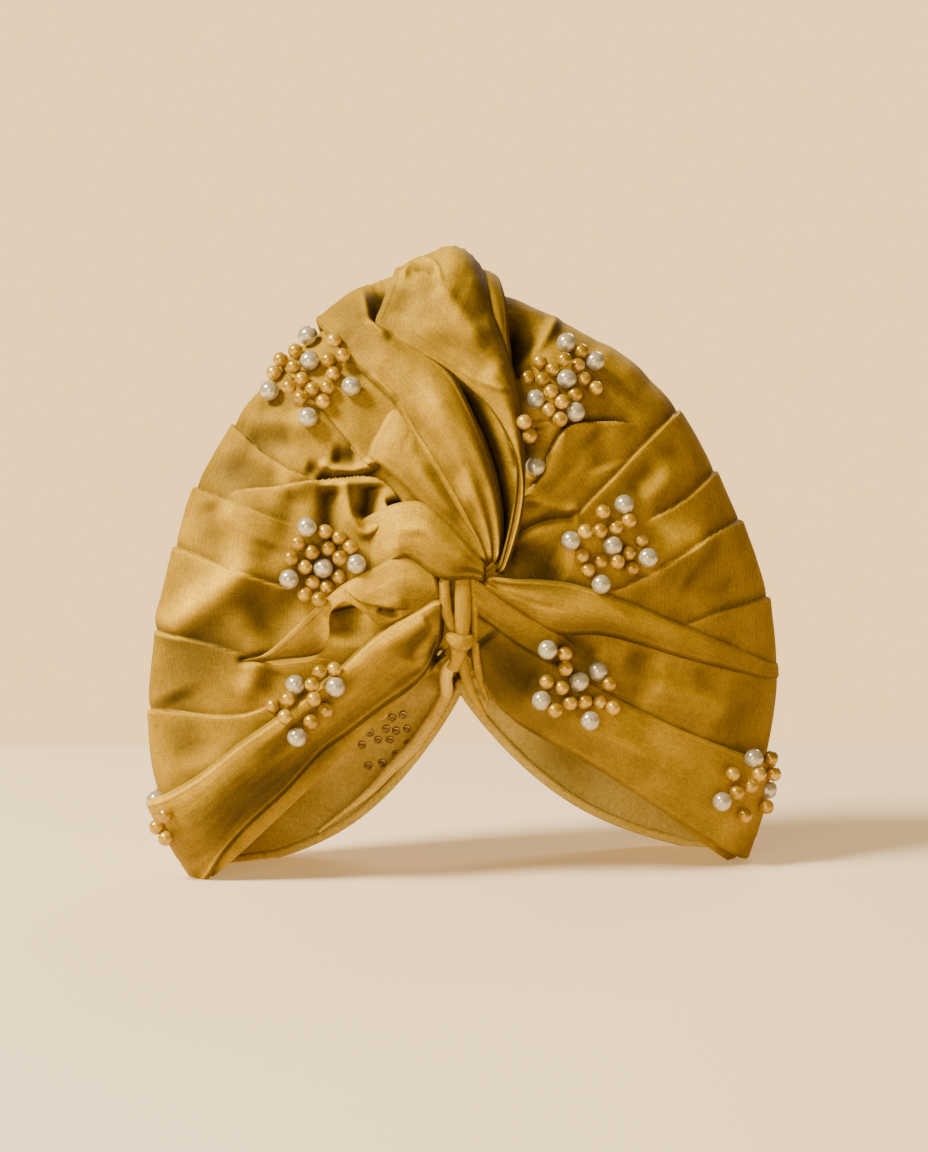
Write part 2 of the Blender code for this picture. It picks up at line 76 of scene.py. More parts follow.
rimRows = (
    (-48.3, 185.0, 36.0, 40.0, 5.0, 0.0),
    (-33.0, 165.0, 39.0, 44.0, 3.6, -4.0),
    (-21.7, 154.0, 42.0, 48.0, 2.9, 10.0),
    (-7.5, 141.0, 45.0, 52.0, 2.6, 18.0),
    (9.0, 128.0, 48.0, 56.0, 2.4, 18.0),
    (20.6, 122.5, 49.0, 58.0, 2.4, 12.0),
    (37.0, 121.0, 49.0, 58.0, 2.4, 3.0),
    (65.0, 121.0, 50.0, 58.0, 2.4, 0.0),
    (82.0, 127.0, 50.0, 58.0, 2.4, 0.0),
    (103.0, 134.0, 50.0, 58.0, 2.4, 0.0),
    (122.0, 130.0, 50.0, 58.0, 2.4, 0.0),
    (148.4, 128.5, 49.0, 57.0, 2.4, 0.0),
    (163.1, 132.5, 49.0, 56.0, 2.4, 4.0),
    (175.6, 136.5, 48.0, 54.0, 2.5, 9.0),
    (191.0, 146.5, 45.0, 50.0, 2.7, 13.0),
    (203.6, 160.5, 42.0, 46.0, 3.2, 12.0),
    (215.8, 174.2, 39.0, 42.0, 4.2, 4.0),
    (228.9, 183.5, 36.0, 38.0, 5.0, 0.0),
)
rim = {name: np.array(values) for name, values in zip(rimNames, zip(*rimRows))}

# The camera, and the upright plane through the hat's front to which the photo's points are carried
view = {"camera": (0.0, -2040.0, 366.28), "pitch": 6.5, "plane": -40.0, "lens": 140.1}
photo = {"centreU": 464.0, "centreV": 576.0, "focal": 4484.0}     # pixels
hatCentre = np.array([*crown["centre"], 0.0])
# how often a place is corrected, the beads are pushed apart and slid, and the places along each hem and tie
steps = {"settle": 6, "spread": 80, "pearl": 40, "gold": 60, "backEdge": 150, "backArch": 38, "hemRoll": 160,
         "tie": 60}


def ramp(value, start, full):
    t = np.clip((value - start) / (full - start), 0.0, 1.0)
    return t * t * (3 - 2 * t)


def smoothValue(keys, values, at):
    # a smooth curve through a table's values, flat past its ends
    keys, values = np.asarray(keys, float), np.asarray(values, float)
    at = np.clip(at, keys[0], keys[-1])
    i = np.clip(np.searchsorted(keys, at, side="right") - 1, 0, len(keys) - 2)
    before, after = np.maximum(i - 1, 0), np.minimum(i + 2, len(keys) - 1)
    span = keys[i + 1] - keys[i]
    slopeA = (values[i + 1] - values[before]) / (keys[i + 1] - keys[before]) * span
    slopeB = (values[after] - values[i]) / (keys[after] - keys[i]) * span
    t = (at - keys[i]) / span
    t2, t3 = t * t, t * t * t
    return ((2 * t3 - 3 * t2 + 1) * values[i] + (t3 - 2 * t2 + t) * slopeA
            + (3 * t2 - 2 * t3) * values[i + 1] + (t3 - t2) * slopeB)


def rimValue(name, angle):
    return smoothValue(rim["angle"], rim[name], angle)


def fanPlace(x, z):
    # fan angle round the knot and share of the rim's radius
    dx, dz = x - crown["knot"][0], z - crown["knot"][1]
    angle = np.degrees(np.arctan2(dz, dx))
    angle = np.where(angle < -90.0, angle + 360.0, angle)
    return angle, np.hypot(dx, dz) / rimValue("radius", angle)


def unit(v):
    return v / np.maximum(np.linalg.norm(v, axis=-1, keepdims=True), 1e-9)


def shell(angle, share):
    # point and normal of the plain form; past a share of 1 the cloth runs down the back
    angle, share = np.broadcast_arrays(np.asarray(angle, float), np.asarray(share, float))
    radius, blunt = rimValue("radius", angle), rimValue("blunt", angle)
    rayX, rayZ = np.cos(np.radians(angle)), np.sin(np.radians(angle))
    behind = share > 1.0
    side = np.where(behind, 1.0, -1.0)
    share = np.clip(np.where(behind, 2.0 - share, share), 0.0, 1.0)
    rimX, rimZ = crown["knot"][0] + radius * rayX, crown["knot"][1] + radius * rayZ
    sag = crown["leftSag"] * ramp(angle, 180.0, 228.9) + crown["rightSag"] * ramp(angle, 5.0, -48.3)
    sag = sag * np.sin(math.pi * share ** crown["sagLean"])
    poleX = np.where(behind, crown["nape"][0], crown["knot"][0])
    poleZ = np.where(behind, crown["nape"][1], crown["knot"][1])
    x = poleX + (rimX - poleX) * share
    z = poleZ + (rimZ - poleZ) * share - np.where(behind, sag, 0.0)
    depth = np.where(behind, rimValue("back", angle), rimValue("front", angle))
    depth = crown["knotDepth"] + (depth - crown["knotDepth"]) * ramp(share, 0.0, 0.5)
    rise = (1.0 - share ** blunt) ** (1.0 / crown["roundness"])
    sweep, lean = crown["sweep"], crown["lean"]
    y = sweep * x + lean * z + side * depth * rise
    slope = side * crown["roundness"] * rise ** (crown["roundness"] - 1.0) / depth
    edge = blunt * share ** (blunt - 1.0) / radius
    normal = np.stack([rayX * edge - sweep * slope, slope, rayZ * edge - lean * slope], -1)
    return np.stack([x, y, np.maximum(z, 0.0)], -1), unit(normal)


def crownPlace(angle, share):
    # the front's folds bend towards the tie near the hem
    radius = rimValue("radius", angle)
    knotX, knotZ = crown["knot"]
    rimX = knotX + radius * np.cos(np.radians(angle))
    rimZ = knotZ + radius * np.sin(np.radians(angle))
    pull = ramp(angle, 165.0, 210.0) + ramp(angle, 15.0, -30.0)
    poleX = knotX + (crown["tie"][0] - knotX) * pull
    poleZ = knotZ + (crown["tie"][1] - knotZ) * pull
    dip = rimValue("dip", angle) * 4.0 * share * (1.0 - share)
    newAngle, newShare = fanPlace(poleX + (rimX - poleX) * share, poleZ + (rimZ - poleZ) * share - dip)
    return np.where(share < 1.0, newAngle, angle), np.where(share < 1.0, newShare, share)


def hatToWorld(points):
    return (points - hatCentre) * 0.001


def worldToHat(points):
    return np.array(points) * 1000.0 + hatCentre


def seenFrom(points):
    # where a place shows on the upright plane that the fold tables are read on
    camX, camY, camZ = view["camera"]
    k = (view["plane"] - camY) / (points[..., 1] - camY)
    return np.stack([camX + (points[..., 0] - camX) * k, camZ + (points[..., 2] - camZ) * k], -1)


def fromPhoto(u, v):
    # a point of the photo, in pixels, carried to the upright plane
    camX, camY, camZ = view["camera"]
    pitch = math.radians(view["pitch"])
    across = (np.asarray(u, float) - photo["centreU"]) / photo["focal"]
    rise = (photo["centreV"] - np.asarray(v, float)) / photo["focal"]
    reach = (view["plane"] - camY) / (math.cos(pitch) + rise * math.sin(pitch))
    return camX + across * reach, camZ + (rise * math.cos(pitch) - math.sin(pitch)) * reach


def underPhoto(u, v):
    # the form's own x and z under a point of the photo
    camX, camY, camZ = view["camera"]
    seenX, seenZ = fromPhoto(u, v)
    x, z = seenX, seenZ
    for _ in range(steps["settle"]):
        angle, share = fanPlace(x, z)
        y = shell(angle, np.minimum(share, 0.95))[0][..., 1]
        k = (y - camY) / (view["plane"] - camY)
        x, z = camX + (seenX - camX) * k, camZ + (seenZ - camZ) * k
    return x, z


def smoothRows(rows, count):
    # each column of a table as a smooth curve of this many places
    keys = np.arange(len(rows), dtype=float)
    at = np.linspace(0.0, keys[-1], count)
    return [smoothValue(keys, column, at) for column in zip(*rows)]


def lengthAlong(points):
    return np.concatenate(([0.0], np.cumsum(np.linalg.norm(np.diff(points, axis=0), axis=1))))


def smoothPath(points, step=0.7):
    # a smooth line through points of the photo, on the upright plane
    points = np.stack(fromPhoto(*np.array(points, float).T), 1)
    keys = np.concatenate(([0.0], np.cumsum(np.hypot(*np.diff(points, axis=0).T))))
    at = np.linspace(0.0, keys[-1], max(10, int(keys[-1] / step)))
    return np.stack([smoothValue(keys, points[:, 0], at), smoothValue(keys, points[:, 1], at)], 1)


def foldAt(kind, name, rise, width, path, fade=(0.2, 0.3), side=1, lip=0.8, groove=0.6, spread=1.8):
    # a fold along a path of photo pixels, rise and width in millimetres; fade is the share of the path over
    # which it starts and ends, and the last four values form a lap's edge. The name says which fold it is
    return {"name": name, "kind": kind, "rise": rise, "width": width, "path": path, "fade": fade,
            "side": side, "lip": lip, "groove": groove, "spread": spread}


lap, ridge, valley, crease = (partial(foldAt, kind) for kind in ("lap", "ridge", "valley", "crease"))

# A lap's edge and a crease's bottom, in millimetres: how deep the edge dents and how far that reaches, where
# it turns down, how far the cloth slides on its high and low side, and the crease's roundness
foldEdge = {"dent": 0.3, "dentReach": 0.9, "low": -0.55, "high": 0.45, "slideHigh": 1.3, "slideLow": 1.1,
            "creaseRound": 0.7}


def foldShape(fold, d):
    # height of a fold across its line, and how far the cloth slides across it; d > 0 is the high side
    kind, rise, width, lip = fold["kind"], fold["rise"], fold["width"], fold["lip"]
    slide = np.zeros_like(d)
    if kind == "lap":
        above, below = np.maximum(d, 0.0), np.maximum(-d, 0.0)
        dent = 1.0 - foldEdge["dent"] * np.exp(-above / foldEdge["dentReach"])
        high = rise * np.exp(-above / width) * dent
        low = -fold["groove"] * np.exp(-below / fold["spread"])
        s = ramp(d, foldEdge["low"], foldEdge["high"])
        height = s * high + (1.0 - s) * low
        slide = np.where(d >= 0, -lip * np.exp(-((d / foldEdge["slideHigh"]) ** 2)),
                         0.5 * lip * np.exp(-((d / foldEdge["slideLow"]) ** 2)))
    elif kind == "ridge":
        height = rise * np.exp(-((d / width) ** 2))
    elif kind == "valley":
        height = -rise * np.exp(-((d / width) ** 2))
    else:
        bottom = foldEdge["creaseRound"]
        height = -rise * np.exp(-(np.hypot(d, bottom) - bottom) / width)
    return height, slide


def foldCloth(points, normals, folds, strength=None):
    # moves a piece's points along its folds
    flat = points.reshape(-1, 3).copy()
    normal = normals.reshape(-1, 3)
    seen = seenFrom(flat)
    strength = np.ones(len(flat)) if strength is None else strength.reshape(-1)
    total, slides = np.zeros(len(flat)), np.zeros((len(flat), 2))
    for fold in folds:
        path = smoothPath(fold["path"])
        tangent = unit(np.gradient(path, axis=0))
        reach = 3.2 * fold["width"] + 3.0       # past this the fold has died out
        near = np.where(np.all((seen > path.min(0) - reach) & (seen < path.max(0) + reach), axis=1)
                        & (strength > 0.0))[0]
        if not len(near):
            continue
        k = np.empty(len(near), int)
        for start in range(0, len(near), 20000):
            part = seen[near[start:start + 20000]]
            k[start:start + 20000] = ((part[:, None] - path[None]) ** 2).sum(-1).argmin(1)
        off, t = seen[near] - path[k], tangent[k]
        along = (off * t).sum(1)
        height, slide = foldShape(fold, (t[:, 0] * off[:, 1] - t[:, 1] * off[:, 0]) * fold["side"])
        spacing = np.hypot(*np.diff(path, axis=0).T).mean()
        share = np.clip((k + along / spacing) / (len(path) - 1.0), 0.0, 1.0)
        fadeIn, fadeOut = fold["fade"]
        fade = ramp(share, 0.0, fadeIn) if fadeIn else np.ones(len(near))
        fade = fade * (ramp(share, 1.0, 1.0 - fadeOut) if fadeOut else 1.0)
        beyond = np.where((k == 0) | (k == len(path) - 1), np.abs(along), 0.0)
        fade = fade * np.exp(-(beyond / 1.5) ** 2) * strength[near]
        total[near] += height * fade
        across = np.stack([-t[:, 1], t[:, 0]], 1) * fold["side"]
        slides[near] += across * (slide * fade)[:, None]
    move = np.stack([slides[:, 0], np.zeros(len(flat)), slides[:, 1]], 1)
    move -= normal * (move * normal).sum(1, keepdims=True)
    flat += normal * total[:, None] + move
    return flat.reshape(points.shape)


def noiseField(u, v, seed):
    # soft noise over two metric coordinates
    values = [noise.noise((a, b, seed)) + 0.5 * noise.noise((2.1 * a, 2.1 * b, seed + 7.0))
              for a, b in zip(u.reshape(-1).tolist(), v.reshape(-1).tolist())]
    return np.array(values).reshape(u.shape)


def pressOnFloor(points):
    points[..., 2] = np.maximum(points[..., 2], 0.0)
    return points


def gridFaces(rows, columns, flip=False, closed=False):
    index = np.arange(rows * columns).reshape(rows, columns)
    if closed:
        index = np.concatenate([index, index[:, :1]], 1)
    a, b, c, d = index[:-1, :-1], index[:-1, 1:], index[1:, 1:], index[1:, :-1]
    quads = np.stack([a, d, c, b] if flip else [a, b, c, d], -1).reshape(-1, 4)
    return quads.tolist()


def tubeFaces(rows, columns):
    # the faces of a closed tube, each end drawn together on a point that follows the grid's
    faces, total = gridFaces(rows, columns, closed=True), rows * columns
    faces += [[total, (j + 1) % columns, j] for j in range(columns)]
    last = total - columns
    faces += [[total + 1, last + j, last + (j + 1) % columns] for j in range(columns)]
    return faces


def blurred(field, reach):
    # moving average over a grid, both ways
    for axis in (0, 1):
        pad = [(0, 0), (0, 0)]
        pad[axis] = (reach, reach)
        total = np.cumsum(np.pad(field, pad, mode="edge"), axis=axis)
        total = np.concatenate([np.zeros_like(np.take(total, [0], axis)), total], axis)
        size = field.shape[axis]
        high = np.take(total, np.arange(2 * reach + 1, 2 * reach + 1 + size), axis)
        field = (high - np.take(total, np.arange(size), axis)) / (2 * reach + 1)
    return field


# Painted shade and light: how much darker or lighter a place's colour is painted for how far it stands out of
# the cloth round it, in millimetres
hollowLight = {"proud": (-7.0, -3.0, -1.0, 0.0, 1.8), "light": (0.18, 0.36, 0.74, 0.97, 1.1)}


def paintedHollowShadeOf(height, near, far):
    # painted shade and light on each place, from its height over its near and its wider surroundings
    nearby, around = (blurred(blurred(height, reach), reach) for reach in (near, far))
    proud = 0.6 * (height - nearby) + 0.4 * (height - around)
    return np.interp(proud, hollowLight["proud"], hollowLight["light"])


def gridNormals(points):
    return unit(np.cross(np.gradient(points, axis=0), np.gradient(points, axis=1)))


def paintedFacingShadeOf(folded, plain, outward):
    # painted light and shade by facing: cloth that a fold turns towards the key lamp is painted lighter,
    # cloth turned away darker
    plainNormal = gridNormals(plain)
    facing = np.sign((plainNormal * outward).sum(-1, keepdims=True))
    turn = ((gridNormals(folded) - plainNormal) * facing * np.array(facingShade["way"])).sum(-1)
    return np.clip(1.0 + facingShade["folds"] * turn, 0.4, 1.35)


# Painted light and shade by facing: the way towards the key lamp, and how strongly the folds' turn shows
facingShade = {"way": (-0.55, -0.25, 0.80), "folds": 1.1}
# Broad patches of painted shade and painted light: the middle and the reach across and down in photo pixels,
# the tilt in degrees and the share of light
frontPaintedPatches = (
    (212, 652, 46, 34, 35, 0.58), (262, 425, 26, 30, 0, 0.86), (225, 470, 34, 28, 0, 0.8),
    (208, 600, 60, 15, 37, 1.4), (182, 742, 26, 24, 0, 0.72), (250, 796, 90, 28, 38, 0.52),
    (176, 676, 30, 34, 0, 0.7), (326, 752, 24, 12, 40, 0.75), (348, 312, 26, 22, 0, 0.75),
    (537, 325, 18, 26, 0, 0.68), (542, 578, 40, 18, -15, 0.62), (512, 655, 58, 26, -45, 0.7),
    (388, 640, 24, 14, 35, 1.1), (515, 680, 62, 38, -45, 0.45), (441, 661, 10, 14, 20, 0.3),
    (596, 655, 44, 40, 0, 0.8), (717, 590, 60, 45, 0, 0.96), (725, 690, 70, 60, 0, 0.86),
    (604, 431, 34, 16, 10, 1.2), (645, 364, 30, 22, -45, 1.15), (408, 539, 26, 20, 0, 1.2),
    (660, 760, 50, 26, -30, 1.08), (452, 400, 44, 16, -50, 1.15),
)
insidePaintedPatches = (
    (330, 745, 26, 30, 0, 1.3), (600, 800, 60, 24, -28, 0.95), (572, 748, 44, 42, -30, 0.62),
    (250, 822, 60, 16, 38, 0.55), (455, 700, 14, 24, 0, 0.7),
)


# painted shade and light of the broad patches at each place
def paintedPatchLightAt(points, patches):
    seen = seenFrom(points)
    pixel = (view["plane"] - view["camera"][1]) / photo["focal"]
    light = np.ones(seen.shape[:-1])
    for u, v, across, down, tilt, share in patches:
        x, z = fromPhoto(u, v)
        cos, sin = math.cos(math.radians(tilt)), math.sin(math.radians(tilt))
        offX, offZ = seen[..., 0] - x, seen[..., 1] - z
        reachAcross = (offX * cos + offZ * sin) / (across * pixel)
        reachDown = (offZ * cos - offX * sin) / (down * pixel)
        light *= 1.0 + (share - 1.0) * np.exp(-(reachAcross ** 2 + reachDown ** 2) ** 1.2)
    return light


def addToScene(name, data):
    holder = bpy.data.objects.new(name, data)
    bpy.context.scene.collection.objects.link(holder)
    return holder


def meshPiece(name, points, faces, material):
    # one smooth mesh object from places in metres
    mesh = bpy.data.meshes.new(name)
    mesh.from_pydata(points, [], faces)
    mesh.materials.append(material)
    mesh.shade_smooth()
    return addToScene(name, mesh)


def buildPiece(name, points, faces, uvs, material, paintedLight):
    # a piece of cloth from places in the hat's frame, with its length and width as texture and its painted
    # shade and light
    piece = meshPiece(name, hatToWorld(points).tolist(), faces, material)
    mesh = piece.data
    light = (paintedLight ** jersey["depth"]).astype(np.float32)
    mesh.attributes.new("paintedLight", "FLOAT", "POINT").data.foreach_set("value", light)
    layer = mesh.uv_layers.new(name="cloth")
    loops = np.empty(len(mesh.loops), np.int64)
    mesh.loops.foreach_get("vertex_index", loops)
    layer.data.foreach_set("uv", uvs[loops].astype(np.float32).reshape(-1))
    mesh.validate()
    return piece


# Materials

def linearColour(code):
    values = [int(code[i:i + 2], 16) / 255.0 for i in (1, 3, 5)]
    return tuple(v / 12.92 if v <= 0.04045 else ((v + 0.055) / 1.055) ** 2.4 for v in values) + (1.0,)


def addNode(tree, kind, settings=None, links=None):
    # one node with its settings, input values and incoming links
    node = tree.nodes.new(kind)
    for name, value in (settings or {}).items():
        if hasattr(node, name):
            setattr(node, name, value)
        else:
            node.inputs[name].default_value = value
    for name, source in (links or {}).items():
        tree.links.new(source, node.inputs[name])
    return node


def colourRamp(tree, source, stops):
    node, stops = addNode(tree, "ShaderNodeValToRGB", links={"Fac": source}), list(stops)
    while len(node.color_ramp.elements) < len(stops):
        node.color_ramp.elements.new(0.5)
    for element, (place, code) in zip(node.color_ramp.elements, stops):
        element.position = place
        element.color = linearColour(code)
    return node.outputs["Color"]


def mathNode(tree, operation, *values):
    # an operation on outputs of other nodes and plain numbers
    node = addNode(tree, "ShaderNodeMath", {"operation": operation})
    for socket, value in zip(node.inputs, values):
        if isinstance(value, float):
            socket.default_value = value
        else:
            tree.links.new(value, socket)
    return node.outputs[0]


def newMaterial(name, settings):
    # a material with its tree and its shader, whose inputs take plain values and colour codes
    material = bpy.data.materials.new(name)
    material.use_nodes = True
    shader = material.node_tree.nodes["Principled BSDF"]
    for socket, value in settings.items():
        shader.inputs[socket].default_value = linearColour(value) if isinstance(value, str) else value
    return material, material.node_tree, shader


# Polyester jersey. The pitches are millimetres; the real knit is about 0.5, drawn coarser so that it shows
jersey = {
    "face": ("#94760E", "#A88616", "#B8941F"),
    "back": ("#CFB34A", "#DCC158", "#E6CD66"),      # paler copies of the face colours: painted light on the inside and the rolled hems
    "wales": {"pitch": 1.45, "way": "X", "distortion": 3.0},
    "courses": {"pitch": 1.9, "way": "Y", "distortion": 4.0},
    "cloud": {"Scale": 55.0, "Detail": 5.0, "Roughness": 0.65},
    "wobble": {"Scale": 620.0, "Detail": 4.0, "Roughness": 0.75},
    "knit": 0.22,                   # how much of the knit shows in the pile
    "pile": {"From Min": 0.32, "From Max": 0.86, "To Min": 0.68, "To Max": 1.26},
    "bump": {"Strength": 0.3, "Distance": 0.00025},
    "depth": 1.45,                  # how strongly the painted shade and light of hollows, facing and patches shows
    "shader": {"Roughness": 0.7, "IOR": 1.5, "Sheen Weight": 0.05, "Specular IOR Level": 0.15,
               "Sheen Roughness": 0.4, "Sheen Tint": "#EBC560"},
}


def makeJersey(name, colours):
    # velvety crepe jersey, knitted: soft, matt, a pale bloom where the light grazes it
    material, tree, shader = newMaterial(name, jersey["shader"])
    uv = addNode(tree, "ShaderNodeUVMap", {"uv_map": "cloth"}).outputs["UV"]
    place = addNode(tree, "ShaderNodeTexCoord").outputs["Object"]
    cloud = addNode(tree, "ShaderNodeTexNoise", jersey["cloud"], {"Vector": place})
    base = colourRamp(tree, cloud.outputs["Fac"], zip((0.3, 0.5, 0.7), colours))
    wobble = addNode(tree, "ShaderNodeTexNoise", jersey["wobble"], {"Vector": place})
    waves = []
    for part in (jersey["wales"], jersey["courses"]):
        settings = {"bands_direction": part["way"], "Scale": 1.0 / part["pitch"] / 20.0 * 6.2832,
                    "Distortion": part["distortion"], "Detail": 2.0, "Detail Scale": 2.0}
        waves.append(addNode(tree, "ShaderNodeTexWave", settings, {"Vector": uv}).outputs["Fac"])
    knit = mathNode(tree, "MULTIPLY", *waves)
    pile = mathNode(tree, "MULTIPLY_ADD", knit, jersey["knit"], wobble.outputs["Fac"])
    shade = addNode(tree, "ShaderNodeMapRange", jersey["pile"], {"Value": pile})
    # the pieces' painted shade and light, kept in an attribute, darkens and lightens the colour
    paintedLight = addNode(tree, "ShaderNodeAttribute", {"attribute_name": "paintedLight"})
    light = mathNode(tree, "MULTIPLY", shade.outputs["Result"], paintedLight.outputs["Fac"])
    mixed = addNode(tree, "ShaderNodeMix", {"data_type": "RGBA", "blend_type": "MULTIPLY"})
    mixed.inputs["Factor"].default_value = 1.0
    tree.links.new(light, mixed.inputs["B"])
    tree.links.new(base, mixed.inputs["A"])
    bump = addNode(tree, "ShaderNodeBump", jersey["bump"], {"Height": pile})
    tree.links.new(mixed.outputs["Result"], shader.inputs["Base Color"])
    tree.links.new(bump.outputs["Normal"], shader.inputs["Normal"])
    return material


# Imitation pearl: a moulded bead under nacre lacquer, milky with a soft silver sheen. The gold bead has
# pearl lacquer in gold: satin, part metallic
nacre = {
    "cloud": {"Scale": 420.0, "Detail": 4.0, "Distortion": 1.5},
    "colours": ((0.3, "#ADA88C"), (0.5, "#C2BDA2"), (0.7, "#DAD5C0")),
    "bump": {"Strength": 0.12, "Distance": 0.0003},
    "shader": {"Roughness": 0.22, "Metallic": 0.5, "IOR": 1.53, "Coat Weight": 0.6, "Coat Roughness": 0.12},
}
goldLacquer = {
    "cloud": {"Scale": 95.0, "Detail": 1.0},
    "colours": ((0.38, "#A8861A"), (0.5, "#C09A28"), (0.62, "#D6B248")),
    "shader": {"Roughness": 0.3, "Metallic": 0.5, "Coat Weight": 0.4, "Coat Roughness": 0.15},
}


def makeLacquer(name, look):
    material, tree, shader = newMaterial(name, look["shader"])
    place = addNode(tree, "ShaderNodeTexCoord").outputs["Object"]
    cloud = addNode(tree, "ShaderNodeTexNoise", look["cloud"], {"Vector": place}).outputs["Fac"]
    tree.links.new(colourRamp(tree, cloud, look["colours"]), shader.inputs["Base Color"])
    if "bump" in look:
        bump = addNode(tree, "ShaderNodeBump", look["bump"], {"Height": cloud})
        tree.links.new(bump.outputs["Normal"], shader.inputs["Normal"])
    return material


clothMaterial = makeJersey("mustardJersey", jersey["face"])
paintedLightMaterial = makeJersey("jerseyPaintedLight", jersey["back"])
pearlMaterial = makeLacquer("nacrePearl", nacre)
goldMaterial = makeLacquer("goldLacquerBead", goldLacquer)
# pressed metal cups that hold the stitches inside the back
studMaterial = newMaterial("nickelStud", {"Base Color": "#A8905C", "Metallic": 1.0, "Roughness": 0.28})[0]
print("materials ready")

# The crown's pleats: name, the side that lies high, share of the path over which it ends, and its path.
# side 1 lays the high side to the left of the line's way
pleat = {"rise": 1.15, "width": 10.0, "lip": 0.5, "groove": 1.1, "spread": 4.0}
pleatRows = (
    ("leftPleat1", -1, 0.12, [(224, 416), (232, 424), (262, 452), (285, 468), (300, 475), (316, 480)]),
    ("leftPleat2", -1, 0.2, [(186, 485), (195, 488), (240, 505), (295, 527)]),
    ("leftPleat3", -1, 0.15, [(166, 545), (175, 548), (220, 565), (265, 582), (297, 592)]),
    ("leftPleat4", -1, 0.15, [(150, 630), (158, 632), (200, 642), (250, 658)]),
    ("leftPleat5", -1, 0.15, [(140, 710), (148, 711), (200, 716), (240, 716), (270, 707)]),
    ("rightPleat1", 1, 0.1, [(688, 403), (680, 410), (640, 450), (610, 482), (588, 504), (577, 518)]),
    ("rightPleat2", 1, 0.2, [(724, 466), (716, 472), (685, 500), (645, 523)]),
    ("rightPleat3", 1, 0.15, [(748, 517), (740, 521), (700, 542), (660, 568), (625, 587), (600, 594)]),
    ("rightPleat4", 1, 0.15, [(776, 596), (768, 598), (720, 612), (683, 627)]),
)
pleats = [lap(name, path=path, fade=(0.0, fadeOut), side=side, **pleat)
          for name, side, fadeOut, path in pleatRows]
